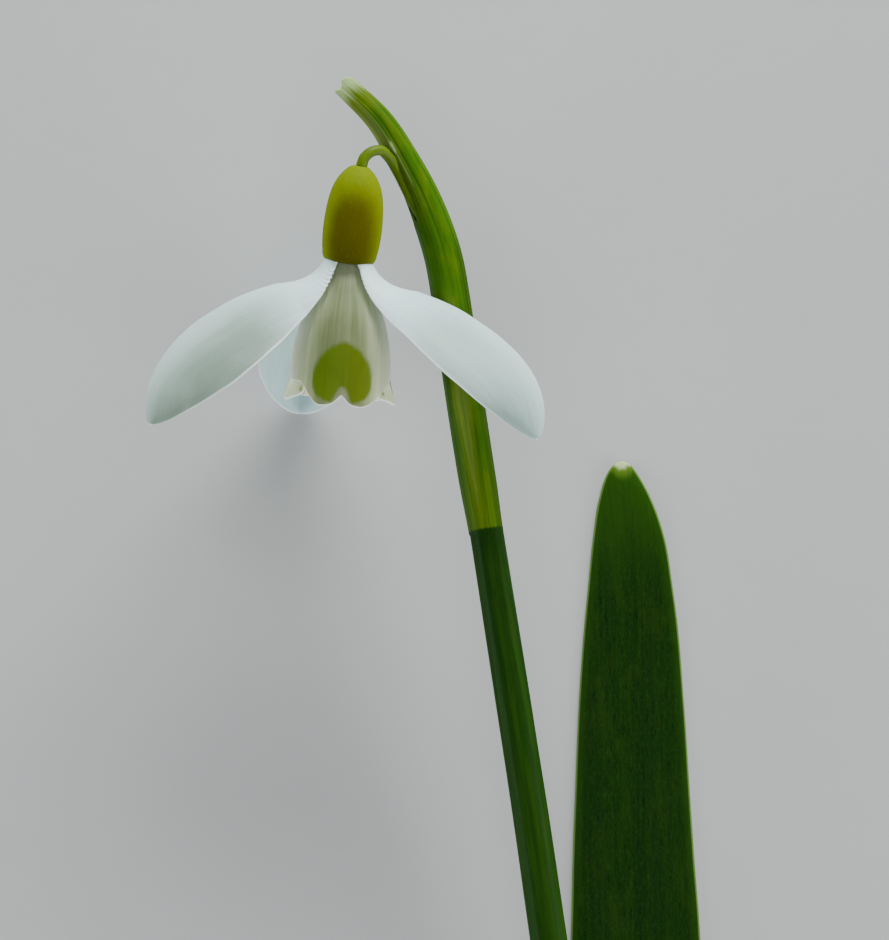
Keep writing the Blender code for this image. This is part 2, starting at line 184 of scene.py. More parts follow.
# stage, in metres from the flower's base: each light's name, place, size and colour
CAMERA_LENS = 183.83
CAMERA_SENSOR = 36.0
CAMERA_ASIDE = (0.01005, -0.02156)
CAMERA_SEES = (0.05, 20.0)
FLOOR_HALF = 2.0
FLOOR_LEVEL = -0.00003
SURROUND = (0.90, 0.95, 1.0, 1.0)
LIGHT_TARGET = (0.01, -0.02, -0.01)
LIGHTS = (
    ("key", (0.20, 0.70, 0.26), (0.70, 0.32), (1.0, 1.0, 1.0)),
    ("side", (0.55, -0.34, 0.12), (0.50, 0.20), (1.0, 0.99, 0.96)),
    ("fill", (-0.55, -0.24, 0.14), (0.50, 0.24), (0.94, 0.97, 1.0)),
    ("front", (0.0, -0.12, 0.70), (0.50, 0.50), (1.0, 1.0, 1.0)),
)


# ---------------------------------------------------------------- settings


def length_setting(name, description, millimetres):
    """A length in the scene's units, given in millimetres."""
    return FloatProperty(name=name, description=description, default=millimetres * MM, min=0.0,
                         precision=5, unit="LENGTH")


def colour_setting(name, description, red, green, blue):
    """A colour in linear light."""
    return FloatVectorProperty(name=name, description=description, default=(red, green, blue), min=0.0,
                               max=1.0, size=3, subtype="COLOR")


class SNOWDROP_PG_flower(bpy.types.PropertyGroup):
    """Sizes and colours of the flower."""
    outer_length: length_setting("Outer length", "Length of an outer tepal along its midrib", 27.0)
    outer_half_width: length_setting("Outer half-width", "Half the width of an outer tepal", 6.2)
    outer_wall: length_setting("Outer wall", "Thickness of an outer tepal in its middle", 0.40)
    bell_height: length_setting("Bell height", "Height of the bell of inner tepals", 14.62)
    inner_wall: length_setting("Inner wall", "Thickness of an inner tepal in its middle", 0.38)
    outer_white: colour_setting("Outer white", "Outer tepals", 0.58, 0.8, 0.83)
    # painted shade: a darker grey-green laid over the broad parts of the outer tepals
    outer_painted_shade: colour_setting("Outer shade", "Broad parts of the outer tepals", 0.19, 0.27, 0.225)
    outer_tint: colour_setting("Outer tint", "Claws of the outer tepals", 0.64, 0.84, 0.76)
    inner_white: colour_setting("Inner white", "Inner tepals between their veins", 0.83, 0.89, 0.64)
    inner_vein: colour_setting("Inner veins", "Veins of the inner tepals", 0.7, 0.79, 0.51)
    # pale thin margins, brightened further as a painted rim highlight
    inner_rim_and_highlight: colour_setting("Inner rim", "Thin rims of the inner tepals", 0.96, 0.98, 0.9)
    mark: colour_setting("Mark", "Green mark on the inner tepals", 0.075, 0.133, 0.0004)
    mark_warm: colour_setting("Mark, warm", "Olive parts of the green mark", 0.086, 0.125, 0.0004)
    ovary_green: colour_setting("Ovary green", "Sides and top of the ovary", 0.138, 0.185, 0.0006)
    # olive tint darkened as painted shade, low on the ovary's front
    ovary_olive_and_shade: colour_setting("Ovary olive", "Lower front of the ovary", 0.07, 0.066, 0.0004)
    anther: colour_setting("Anthers", "Pollen sacs of the stamens", 0.70, 0.30, 0.03)
    filament: colour_setting("Filaments", "Filaments and the style", 0.72, 0.76, 0.58)


class SNOWDROP_PG_stem(bpy.types.PropertyGroup):
    """Sizes and colours of the stem, the bract and the leaf."""
    scape_radius: length_setting("Scape radius", "Radius of the scape at its foot", 2.05)
    scape_top_radius: length_setting("Scape top radius", "Radius of the scape under the spathe", 1.75)
    pedicel_radius: length_setting("Pedicel radius", "Radius of the flower's stalk", 0.55)
    spathe_wall: length_setting("Spathe wall", "Thickness of the bract", 0.32)
    leaf_wall: length_setting("Leaf wall", "Thickness of the leaf beside its middle", 0.85)
    sheath_wall: length_setting("Sheath wall", "Thickness of the basal sheath", 0.30)
    scape: colour_setting("Scape", "Scape", 0.0055, 0.033, 0.0005)
    scape_pale: colour_setting("Scape, pale", "Paler lengthwise streaks of the scape", 0.014, 0.056, 0.0012)
    spathe: colour_setting("Spathe green", "Broad green faces of the spathe", 0.03, 0.09, 0.001)
    spathe_olive: colour_setting("Spathe olive", "Yellowish patches of the spathe", 0.105, 0.15, 0.0015)
    # dark specks of the spathe; also painted shade in its creases, and the darker lower left side
    spathe_dark_and_shade: colour_setting("Spathe dark", "Dark creases of the spathe", 0.008, 0.036, 0.0006)
    membrane: colour_setting("Membrane", "Papery margins and inner faces of the spathe", 0.2, 0.27, 0.045)
    papery: colour_setting("Papery tip", "Pale tip and keels of the spathe", 0.36, 0.5, 0.22)
    pedicel: colour_setting("Pedicel", "The flower's stalk", 0.095, 0.165, 0.0015)
    leaf: colour_setting("Leaf", "Face of the leaf", 0.0024, 0.019, 0.0004)
    leaf_light: colour_setting("Leaf, light", "Lighter lengthwise streaks of the leaf", 0.007, 0.04, 0.001)
    leaf_margin: colour_setting("Leaf margin", "Thin edges of the leaf", 0.1, 0.19, 0.035)
    leaf_tip: colour_setting("Leaf tip", "Hooded tip of the leaf", 0.37, 0.46, 0.22)
    sheath: colour_setting("Sheath", "Basal sheath", 0.66, 0.66, 0.48)
    sheath_vein: colour_setting("Sheath veins", "Veins of the basal sheath", 0.44, 0.48, 0.26)


class SNOWDROP_PG_stage(bpy.types.PropertyGroup):
    """The floor, the lights and the camera."""
    floor: colour_setting("Floor", "The floor", 0.45, 0.46, 0.46)
    key_power: FloatProperty(name="Key light", description="Power of the large soft light beyond the flower",
                             default=15.0, min=0.0, unit="POWER")
    side_power: FloatProperty(name="Side light", description="Power of the low light at the front right",
                              default=3.4, min=0.0, unit="POWER")
    fill_power: FloatProperty(name="Fill light", description="Power of the low light at the front left",
                              default=3.0, min=0.0, unit="POWER")
    front_power: FloatProperty(name="Front light", description="Power of the weak light over the front",
                               default=1.6, min=0.0, unit="POWER")
    sky: FloatProperty(name="Surround", description="Strength of the even light all round",
                       default=0.22, min=0.0)
    camera_height: length_setting("Camera height", "Height of the camera over the flower's base", 500.0)


# ---------------------------------------------------------------- shape tools


def bunched(count):
    """Shares from 0 to 1 that crowd together at both ends: 0.15 x + 0.85 (1 - cos(pi x)) / 2."""
    x = np.linspace(0.0, 1.0, count)
    return 0.15 * x + 0.85 * (1.0 - np.cos(math.pi * x)) / 2.0


def edged(count):
    """Shares from -1 to 1 that crowd together at both ends: 0.2 x + 0.8 sin(pi x / 2)."""
    x = np.linspace(-1.0, 1.0, count)
    return 0.2 * x + 0.8 * np.sin(math.pi / 2 * x)


def full_turn(columns):
    """Angles of a full turn whose last one repeats the first, so that the seam welds."""
    angle = np.linspace(0.0, 2 * math.pi, columns)
    angle[-1] = angle[0]
    return angle


def rise(low, high, x):
    """A smooth step: 0 up to low, 1 from high, 3u^2 - 2u^3 between."""
    u = np.clip((x - low) / (high - low), 0.0, 1.0)
    return u * u * (3.0 - 2.0 * u)


def wander(x, seed):
    """A smooth wander within about -1 and 1: sines of rising pitch and falling height, phased by the seed."""
    phases = np.random.default_rng(seed).uniform(0.0, 2.0 * math.pi, 5)
    total = 0.0
    for k, phase in enumerate(phases, 1):
        total = total + np.sin(k * x + phase) / k
    return total / 1.8


def through(stops, places):
    """Smooth value at each place along stops of (place, value), by cubics with the neighbours' slopes."""
    x, y = np.transpose(np.asarray(stops, dtype=float))
    slope = np.gradient(y, x)
    places = np.clip(places, x[0], x[-1])
    i = np.clip(np.searchsorted(x, places, side="right") - 1, 0, len(x) - 2)
    h = x[i + 1] - x[i]
    u = (places - x[i]) / h
    value = (1 + 2 * u) * (1 - u) ** 2 * y[i] + u * u * (3 - 2 * u) * y[i + 1]
    return value + h * u * (1 - u) * ((1 - u) * slope[i] - u * slope[i + 1])


def path_frames(route, shares):
    """Points at shares of a route's length, with unit directions across them: side (+X) and up (+Z).

    A cubic runs through the route's points by chord length, and side = forward x Z, up = side x forward.
    """
    points = np.asarray(route, dtype=float)
    chord = np.concatenate(([0.0], np.cumsum(np.linalg.norm(np.diff(points, axis=0), axis=1))))
    fine = np.linspace(0.0, chord[-1], 60 * len(points))
    curve = np.stack([through(np.column_stack((chord, points[:, k])), fine) for k in range(3)], axis=1)
    length = np.concatenate(([0.0], np.cumsum(np.linalg.norm(np.diff(curve, axis=0), axis=1))))
    forward = np.gradient(curve, axis=0)
    forward /= np.linalg.norm(forward, axis=1)[:, None]
    side = np.cross(forward, (0.0, 0.0, 1.0))
    side /= np.linalg.norm(side, axis=1)[:, None]
    up = np.cross(side, forward)
    at = np.asarray(shares) * length[-1]

    def pick(values):
        return np.stack([np.interp(at, length, values[:, k]) for k in range(3)], axis=1)

    return pick(curve), pick(side), pick(up), length[-1]


def grid_normals(points, facing, joined=None):
    """Unit normals of a grid: the cross product of its two slopes, turned to the side that facing points to.

    joined tells, row by row, where the first and last columns are one line and share their normal.
    """
    along = np.gradient(points, axis=0)
    across = np.gradient(points, axis=1)
    normal = np.cross(across, along)
    if joined is not None:
        wrapped = (points[:, 1] - points[:, -2]) / 2
        shared = np.cross(wrapped, along[:, 0])
        normal[joined, 0] = shared[joined]
        normal[joined, -1] = shared[joined]
    normal /= np.maximum(np.linalg.norm(normal, axis=2, keepdims=True), 1e-12)
    if np.sum(normal * facing) < 0.0:
        normal = -normal
    return normal


def fields(*values):
    """Grids of numbers, or single numbers, put side by side as a grid of vectors."""
    return np.stack(np.broadcast_arrays(*[np.asarray(value, dtype=float) for value in values]), axis=-1)


class Patch:
    """A grid of points with its coordinates in the grown, unrolled piece and its marks for the finish."""

    def __init__(self, points, grown, marks, turned=False):
        self.points = points
        self.grown = np.broadcast_to(grown, points.shape)
        self.marks = np.broadcast_to(marks, points.shape)
        self.turned = turned


def shell(middle, wall, facing, grown, rim, field, outer_relief=0.0, joined=None):
    """Both faces of a sheet: its middle surface moved half the wall along the normal to either side.

    The wall falls to nothing along the free edges, so the two faces meet in a rounded rim. The marks are
    the distance from the rim, the side (1 outer, -1 inner) and a field of the piece's own.
    """
    normal = grid_normals(middle, facing, joined)
    wall = np.broadcast_to(wall, middle.shape[:2])[..., None]
    side = np.minimum(wall / (0.6 * np.max(wall)), 1.0)[..., 0]
    relief = (side * outer_relief)[..., None]
    outer = middle + normal * (wall / 2 + relief)
    inner = middle - normal * wall / 2
    outside = Patch(outer, grown, fields(rim, side, field))
    return [outside, Patch(inner, grown, fields(rim, -side, field), True)]


def tube(route, shares, radius, angle):
    """A closed tube round a route: path + radius (cos(angle) side + sin(angle) up), the angle in radians."""
    path, side, up, length = path_frames(route, shares)
    direction = np.cos(angle)[..., None] * side[:, None] + np.sin(angle)[..., None] * up[:, None]
    points = path[:, None] + radius[..., None] * direction
    along = (shares * length)[:, None]
    grown = fields(radius * np.cos(angle), radius * np.sin(angle), along)
    return [Patch(points, grown, fields(along, 1.0, 0.0))]


def rounded_ends(shares, start, end):
    """A factor for the radius of a closed tube that rises from 0 to 1 over each end: sqrt(1 - (1 - u)^2)."""
    u = np.clip(np.minimum(shares / start, (1.0 - shares) / end), 0.0, 1.0)
    return np.sqrt(1.0 - (1.0 - u) ** 2)


def to_part(points):
    """Points of the flower's frame in the part's: pitched about X, leaned about Z, at the receptacle."""
    pitch = -math.radians(90.0 - FLOWER_PITCH)
    lean = -math.radians(FLOWER_LEAN)
    c, d = math.cos(pitch), math.sin(pitch)
    about_x = np.array(((1, 0, 0), (0, c, -d), (0, d, c)))
    c, d = math.cos(lean), math.sin(lean)
    about_z = np.array(((c, -d, 0), (d, c, 0), (0, 0, 1)))
    return points @ (about_z @ about_x).T + receptacle()


def in_part(patches):
    """Patches of the flower's frame, moved to the part's."""
    for patch in patches:
        patch.points = to_part(patch.points)
    return patches


def receptacle():
    """Where the flower's frame stands in the part, from the ovary's box."""
    low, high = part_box("ovary")
    return np.array([(low[k] + high[k]) / 2 / MM - OVARY_MIDDLE[k] for k in range(3)])


def build_piece(name, patches, finish):
    """One closed mesh from patches: their quads, with shared borders welded and every face turned outwards.

    It rides on the body, stands for its CAD node and takes the finish it is given.
    """
    first = 0
    faces = []
    for patch in patches:
        rows, columns = patch.points.shape[:2]
        index = first + np.arange(rows * columns).reshape(rows, columns)
        quads = np.stack((index[:-1, :-1], index[:-1, 1:], index[1:, 1:], index[1:, :-1]), axis=-1)
        quads = quads.reshape(-1, 4)
        faces.append(quads[:, ::-1] if patch.turned else quads)
        first += rows * columns
    faces = np.concatenate(faces)
    points = np.concatenate([patch.points.reshape(-1, 3) for patch in patches]) * MM
    a, b, c, d = (points[faces[:, k]] for k in range(4))
    if np.sum(a * (np.cross(b, c) + np.cross(c, d))) < 0.0:
        faces = faces[:, ::-1]

    mesh = bpy.data.meshes.new(name)
    mesh.from_pydata(points, [], faces)
    for label in ("grown", "marks"):
        values = np.concatenate([getattr(patch, label).reshape(-1, 3) for patch in patches])
        attribute = mesh.attributes.new(label, "FLOAT_VECTOR", "POINT")
        attribute.data.foreach_set("vector", values.astype(np.float32).ravel())
    work = bmesh.new()
    work.from_mesh(mesh)
    bmesh.ops.remove_doubles(work, verts=work.verts, dist=3e-8)
    loose = [vertex for vertex in work.verts if not vertex.link_faces]
    bmesh.ops.delete(work, geom=loose, context="VERTS")
    open_edges = sum(1 for edge in work.edges if len(edge.link_faces) != 2)
    work.to_mesh(mesh)
    work.free()
    if open_edges:
        raise RuntimeError(f"{name} isn't closed: {open_edges} edges don't join two faces")
    mesh.shade_smooth()
    mesh.materials.append(finish)
    piece = bpy.data.objects.new(name + "_shape", mesh)
    bpy.context.scene.collection.objects.link(piece)
    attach(piece, BODY)
    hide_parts(name)
    return piece


# ---------------------------------------------------------------- finish tools


class Value:
    """A shader socket. Python's operators on it add Math nodes."""

    def __init__(self, finish, socket):
        self.finish = finish
        self.socket = socket

    def maths(self, operation, first, second):
        return self.finish.node("ShaderNodeMath", {"operation": operation}, {0: first, 1: second})

    def __add__(self, other):
        return self.maths("ADD", self, other)

    def __radd__(self, other):
        return self.maths("ADD", other, self)

    def __sub__(self, other):
        return self.maths("SUBTRACT", self, other)

    def __rsub__(self, other):
        return self.maths("SUBTRACT", other, self)

    def __mul__(self, other):
        return self.maths("MULTIPLY", self, other)

    def __rmul__(self, other):
        return self.maths("MULTIPLY", other, self)

    def __abs__(self):
        return self.maths("ABSOLUTE", self, 0.0)

    def larger(self, other):
        return self.maths("MAXIMUM", self, other)

    def smaller(self, other):
        return self.maths("MINIMUM", self, other)

    def smooth(self, low, high):
        """0 at low and 1 at high, with a soft start and end; low may be the larger of the two."""
        if low > high:
            return 1.0 - self.smooth(high, low)
        settings = {"interpolation_type": "SMOOTHSTEP"}
        given = {"Value": self, "From Min": low, "From Max": high}
        return self.finish.node("ShaderNodeMapRange", settings, given)

    def band(self, centre, half_width, soft):
        """1 within half_width of the centre, falling to 0 over the soft distance beyond."""
        return abs(self - centre).smooth(half_width + soft, half_width)


class Finish:
    """One material, written from a piece's grown coordinates and its marks."""

    def __init__(self, name):
        self.material = bpy.data.materials.new(name)
        self.material.use_nodes = True
        self.tree = self.material.node_tree
        self.shader = self.tree.nodes["Principled BSDF"]
        self.grown = self.node("ShaderNodeAttribute", {"attribute_name": "grown"}, {}, "Vector")
        marks = self.node("ShaderNodeAttribute", {"attribute_name": "marks"}, {}, "Vector")
        self.across, self.depth, self.along = self.split(self.grown)
        self.rim, self.side, self.field = self.split(marks)
        self.colour = self.normal = None

    def node(self, kind, settings, given, output=0):
        """Any node: its settings, then the values or links of its sockets. Returns one of its outputs."""
        made = self.tree.nodes.new(kind)
        for key, setting in settings.items():
            setattr(made, key, setting)
        for key, value in given.items():
            if isinstance(value, Value):
                self.tree.links.new(value.socket, made.inputs[key])
            else:
                made.inputs[key].default_value = value
        return Value(self, made.outputs[output])

    def split(self, vector):
        """The three numbers of a vector."""
        outputs = self.node("ShaderNodeSeparateXYZ", {}, {0: vector}).socket.node.outputs
        return [Value(self, socket) for socket in outputs]

    def mix(self, share, first, second):
        """A colour between two colours."""
        first, second = (value if isinstance(value, Value) else (*value, 1.0) for value in (first, second))
        return self.node("ShaderNodeMix", {"data_type": "RGBA"}, {0: share, 6: first, 7: second}, 2)

    def paint(self, share, tint):
        """Lay a tint over the colour so far."""
        self.colour = self.mix(share, self.colour, tint)

    def stretched(self, fine, stretch):
        """The grown coordinates, in grains to a millimetre across and drawn out along the grain."""
        scale = {0: self.grown, 1: (fine, fine, fine / stretch)}
        return self.node("ShaderNodeVectorMath", {"operation": "MULTIPLY"}, scale)

    def noise(self, fine, stretch=1.0, detail=3.0, roughness=0.55):
        """Noise with this many grains to a millimetre across, drawn out this many times along the grain."""
        place = self.stretched(fine, stretch)
        given = {"Vector": place, "Scale": 1.0, "Detail": detail, "Roughness": roughness}
        return self.node("ShaderNodeTexNoise", {}, given)

    def cells(self, fine, stretch):
        """Distance to the nearest cell's middle, for a skin of long cells."""
        given = {"Vector": self.stretched(fine, stretch), "Scale": 1.0}
        return self.node("ShaderNodeTexVoronoi", {}, given, "Distance")

    def bump(self, height, depth):
        """Lay on relief: a height of 0 to 1 that stands for this depth in millimetres."""
        given = {"Height": height, "Distance": depth * MM, "Strength": 1.0}
        if self.normal is not None:
            given["Normal"] = self.normal
        self.normal = self.node("ShaderNodeBump", {}, given)

    def surface(self, roughness, constants):
        """Join the colour, the roughness and the relief to the shader and give the finished material."""
        for key, value in (("Base Color", self.colour), ("Roughness", roughness), ("Normal", self.normal)):
            self.tree.links.new(value.socket, self.shader.inputs[key])
        for key, value in constants.items():
            self.shader.inputs[key].default_value = value
        return self.material


def thin_tissue(weight, distance, gloss=0.12):
    """Constants of a tissue: how much light it lets through, how far in millimetres, and its gloss."""
    return {"Subsurface Weight": weight, "Subsurface Scale": distance * MM,
            "Subsurface Radius": (1.0, 1.0, 0.7), "Specular IOR Level": gloss}


def toned(colour, factor):
    """A colour made darker or lighter by a factor."""
    return [factor * value for value in colour]


def outer_finish(settings):
    """White tissue: faint veins, painted grey-green shade over the broad part, bright rims with a painted
    highlight and tinted claws.
    """
    finish = Finish("outer_tepal_white")
    veins = finish.noise(2.6, 26.0, detail=2.0)
    clouds = finish.noise(0.22, 3.0, detail=2.0)
    fibres = finish.noise(9.0, 30.0)
    white = settings.outer_white
    finish.colour = finish.mix(veins.smooth(0.35, 0.68), toned(white, 0.94), white)
    # painted shade over the broad part, away from the claw and the rim, as strong as the piece's field says
    broad = (finish.along + 3.0 * (clouds - 0.5)).smooth(2.0, 12.0) * finish.field
    dimmed = settings.outer_painted_shade
    shade = finish.mix(veins.smooth(0.3, 0.7), toned(dimmed, 0.96), dimmed)
    finish.paint(broad * finish.rim.smooth(0.02, 0.3), shade)
    finish.paint(clouds.smooth(0.35, 0.7) * 0.2, OUTER_CLOUD)
    claw = finish.along.smooth(5.5, 0.0) * 0.75
    finish.paint(claw * veins.smooth(0.2, 0.7), settings.outer_tint)
    # painted highlight along the rim
    finish.paint(finish.rim.smooth(0.22, 0.04) * 0.7, OUTER_RIM_HIGHLIGHT)
    roughness = 0.38 + 0.16 * fibres
    finish.bump(veins, 0.025)
    finish.bump(fibres, 0.010)
    finish.bump(finish.cells(9.0, 2.5), 0.012)
    return finish.surface(roughness, thin_tissue(0.45, 1.0, 0.2))


def inner_finish(settings):
    """Cream tissue with painted shade up its front middle and painted light on the sides and top, a
    streaky-edged green mark, stripes inside and pale rims with a painted highlight.
    """
    finish = Finish("inner_tepal_white")
    veins = finish.noise(1.5, 60.0, detail=1.5)
    fibres = finish.noise(8.0, 30.0)
    clouds = finish.noise(0.35, 2.0)
    # painted_light is 0 up the front middle, where painted shade darkens tissue and veins, and 1 on the
    # sides; near the ovary the top is partly lifted as painted light
    painted_light = abs(finish.depth).smooth(0.8, 4.3).larger(finish.along.smooth(3.0, 0.5) * 0.3)
    pale = finish.mix(painted_light, INNER_FRONT_PAINTED_SHADE, settings.inner_white)
    dull = finish.mix(painted_light, INNER_FRONT_VEIN_PAINTED_SHADE, settings.inner_vein)
    finish.colour = finish.mix(veins.smooth(0.32, 0.68), dull, pale)
    finish.paint(clouds.smooth(0.4, 0.75) * 0.3 * (1.0 - painted_light), INNER_CLOUD)
    streaks = finish.noise(3.0, 8.0, detail=3.0)
    edge = finish.field + 0.30 * (veins - 0.5) + 0.35 * (streaks - 0.5)
    inside = finish.side.smooth(0.1, -0.1)
    stripes = finish.noise(1.1, 60.0, detail=1.0).smooth(0.42, 0.58)
    low = finish.along.smooth(5.0, 11.0)
    mark = edge.smooth(-0.28, 0.30) * (1.0 - inside) + inside * stripes * low
    warm = (finish.depth + 2.0 * (clouds - 0.5)).smooth(-1.5, 1.8)
    green = finish.mix(warm * 0.9, settings.mark, settings.mark_warm)
    finish.paint(mark.smaller(1.0) * 0.97, green)
    turned_out = finish.along.smooth(12.4, 13.8) * abs(finish.depth).smooth(1.8, 2.6)
    turned_out = turned_out * (1.0 - mark.smaller(1.0))
    finish.paint(turned_out * 0.6, INNER_TURNED_OUT)
    # pale margins, brightened further as a painted rim highlight
    finish.paint(finish.rim.smooth(0.19, 0.05) * 0.9, settings.inner_rim_and_highlight)
    roughness = 0.40 + 0.15 * fibres
    finish.bump(veins, 0.07)
    finish.bump(fibres, 0.015)
    return finish.surface(roughness, thin_tissue(0.8, 1.5, 0.1))


def ovary_finish(settings):
    """Satin yellow-green skin, olive with painted shade low on the front and greener on top, with a fine
    lengthwise grain.
    """
    finish = Finish("ovary_skin")
    grain = finish.noise(5.0, 6.0, detail=4.0)
    bands = finish.noise(1.0, 14.0, detail=2.0)
    clouds = finish.noise(0.5, 1.5, detail=3.0)
    # olive tint and painted shade low on the front, where the field is high
    olive = (finish.field + 0.45 * (clouds - 0.5) + 0.25 * (bands - 0.5)).smooth(0.0, 0.95)
    top = finish.along.smooth(6.5, 10.2)
    finish.colour = finish.mix(olive, settings.ovary_green, settings.ovary_olive_and_shade)
    finish.paint(top * 0.40, OVARY_TOP)
    finish.paint(grain.smooth(0.60, 0.80) * 0.3, OVARY_LIGHT_GRAIN)
    finish.paint(grain.smooth(0.42, 0.28) * 0.4, OVARY_DARK_GRAIN)
    roughness = 0.50 + 0.18 * grain
    finish.bump(finish.cells(6.5, 2.2), 0.02)
    finish.bump(bands, 0.06)
    return finish.surface(roughness, thin_tissue(0.12, 0.8, 0.03))


def anther_finish(settings):
    """Grainy orange pollen sacs on pale filaments."""
    finish = Finish("anther_orange")
    grain = finish.noise(9.0, 1.5)
    sac = finish.field.smooth(0.35, 0.65)
    finish.colour = finish.mix(grain.smooth(0.3, 0.7), toned(settings.anther, 0.62), settings.anther)
    finish.paint(1.0 - sac, settings.filament)
    finish.bump(grain, 0.04)
    return finish.surface(0.45 + 0.2 * grain, {})


def style_finish(settings):
    """Pale, faintly striped tissue with a green tip."""
    finish = Finish("style_pale")
    grain = finish.noise(7.0, 12.0)
    finish.colour = finish.mix(grain.smooth(0.3, 0.7), toned(settings.filament, 0.85), settings.filament)
    finish.paint(finish.along.smooth(7.6, 8.8) * 0.6, STYLE_TIP)
    finish.bump(grain, 0.02)
    return finish.surface(0.42 + 0.1 * grain, {})


def pedicel_finish(settings):
    """Yellow-green stalk with a fine grain and darker specks."""
    finish = Finish("pedicel_green")
    grain = finish.noise(6.0, 7.0, detail=4.0)
    clouds = finish.noise(0.9, 3.0)
    base = settings.pedicel
    finish.colour = finish.mix(clouds.smooth(0.35, 0.7), toned(base, 0.7), base)
    finish.paint(grain.smooth(0.60, 0.75) * 0.4, PEDICEL_LIGHT_GRAIN)
    finish.paint(grain.smooth(0.42, 0.32) * 0.6, PEDICEL_DARK_GRAIN)
    finish.bump(grain, 0.03)
    return finish.surface(0.36 + 0.15 * grain, thin_tissue(0.1, 0.6))


def scape_finish(settings):
    """Dark green stem with paler lengthwise streaks, a darker collar on top and a pale foot."""
    finish = Finish("scape_green")
    streaks = finish.noise(2.0, 30.0, detail=4.0)
    fine = finish.noise(2.6, 7.0, detail=5.0, roughness=0.65)
    clouds = finish.noise(0.6, 3.0, detail=4.0)
    finish.colour = finish.mix(streaks.smooth(0.42, 0.72), settings.scape, settings.scape_pale)
    finish.paint(fine.smooth(0.42, 0.28) * 0.5, toned(settings.scape, 0.35))
    finish.paint(fine.smooth(0.56, 0.72) * 0.4, settings.scape_pale)
    finish.paint(clouds.smooth(0.45, 0.75) * 0.4, SCAPE_CLOUD)
    finish.paint(finish.along.smooth(100.0, 50.0) * 0.3, settings.scape_pale)
    collar = (finish.along + 2.0 * (streaks - 0.5)).smooth(102.0, 108.0)
    finish.paint(collar * 0.5, toned(settings.scape, 0.5))
    foot = finish.along.smooth(24.0, 6.0)
    finish.paint(foot * 0.85, SCAPE_FOOT)
    finish.bump(streaks, 0.06)
    finish.bump(fine, 0.015)
    return finish.surface(0.36 + 0.18 * fine, thin_tissue(0.08, 0.6, 0.05))


def spathe_finish(settings):
    """The bract's lengthwise bands, told by the angle round it: keels, green faces, creases darkened as
    painted shade, painted shade down the right side low down, and membranes.
    """
    finish = Finish("spathe_green")
    angle = finish.node("ShaderNodeMath", {"operation": "ARCTAN2"}, {0: finish.depth, 1: finish.across})
    angle = angle * (180.0 / math.pi)
    share = finish.field
    streaks = finish.noise(3.2, 40.0, detail=4.0)
    fine = finish.noise(8.0, 14.0, detail=3.0)
    patches = finish.noise(0.8, 3.0, detail=4.0)
    wavy = angle + 9.0 * (patches - 0.5)
    green = finish.mix(streaks.smooth(0.35, 0.72), settings.spathe, toned(settings.spathe, 1.35))
    olive = patches.smooth(0.44, 0.66).larger(share.smooth(0.22, 0.04) * 0.8)
    finish.colour = finish.mix(olive * 0.40, green, settings.spathe_olive)
    finish.paint(fine.smooth(0.40, 0.26) * 0.55, settings.spathe_dark_and_shade)
    low = share.smooth(0.52, 0.44)
    open_part = 1.0 - low
    # a papery strip up the front that narrows to a point at the foot, between two yellow-green lines
    half_strip = (85.0 * (share - 0.035)).smaller(21.0).larger(0.0)
    from_strip = abs(angle - 101.0 + 5.0 * (patches - 0.5)) - half_strip
    strip = from_strip.smooth(3.0, -4.0) * low
    lines = from_strip.band(5.0, 2.0, 5.0) * low
    # beside the slit: a papery margin where the stalk leaves, thinning towards the tip
    papery = wavy.band(118.0, 14.0, 12.0) * share.smooth(0.62, 0.76) * share.smooth(0.88, 0.84)
    valve = angle.smooth(112.0, 118.0) * open_part * share.smooth(0.80, 0.86)
    scrap = angle.band(104.0, 4.0, 3.0) * share.band(0.828, 0.006, 0.012)
    scrap = scrap.larger(angle.band(102.0, 0.5, 2.5) * share.band(0.79, 0.025, 0.04) * 0.6)
    inside = finish.side.smooth(0.1, -0.1)
    full = settings.membrane
    thin = finish.mix(streaks.smooth(0.30, 0.65), toned(full, 0.75), full)
    dull = finish.mix(streaks.smooth(0.40, 0.70), toned(full, 0.45), toned(full, 0.80))
    # painted shade down the right side of the lower spathe
    right_painted_shade = angle.band(10.0, 25.0, 25.0) * share.smooth(0.66, 0.56)
    finish.paint(right_painted_shade * 0.7, toned(settings.spathe, 0.55))
    # the lower left side darkened
    finish.paint(angle.band(170.0, 22.0, 25.0) * low * 0.5, settings.spathe_dark_and_shade)
    finish.paint(lines * 0.35, toned(settings.spathe_olive, 1.3))
    finish.paint((papery * 0.45).larger(valve * 0.7).larger(inside * 0.8), dull)
    finish.paint(strip * 0.45, thin)
    finish.paint(scrap * 0.8, settings.papery)
    # painted shade in two creases: thin dark lines at 88 and 34 degrees
    crease_shade = wavy.band(88.0, 1.5, 3.0) * share.smooth(0.70, 0.80)
    crease_shade = crease_shade.larger(wavy.band(34.0, 1.2, 3.0) * share.smooth(0.3, 0.5))
    finish.paint(crease_shade * 0.75, settings.spathe_dark_and_shade)
    keels = wavy.band(6.0, 4.0, 5.0) * share.smooth(0.56, 0.68)
    finish.paint(keels * 0.35, settings.membrane)
    uneven = share + 0.05 * (streaks - 0.5) + 0.05 * (patches - 0.5)
    finish.paint(uneven.smooth(0.88, 0.96) * 0.5, settings.spathe_olive)
    finish.paint(uneven.smooth(0.945, 0.99) * 0.75, settings.papery)
    bright_rim = finish.rim.smooth(0.20, 0.05) * share.smooth(0.72, 0.80)
    finish.paint(bright_rim * (0.25 + 0.6 * share.smooth(0.93, 0.99)), settings.papery)
    foot = (finish.along - 0.22 * finish.depth + 0.25 * (streaks - 0.5)).smooth(0.62, 0.30)
    finish.paint(foot, settings.scape)
    finish.bump(streaks, 0.05)
    finish.bump(fine, 0.015)
    return finish.surface(0.34 + 0.2 * fine, thin_tissue(0.12, 0.6, 0.05))


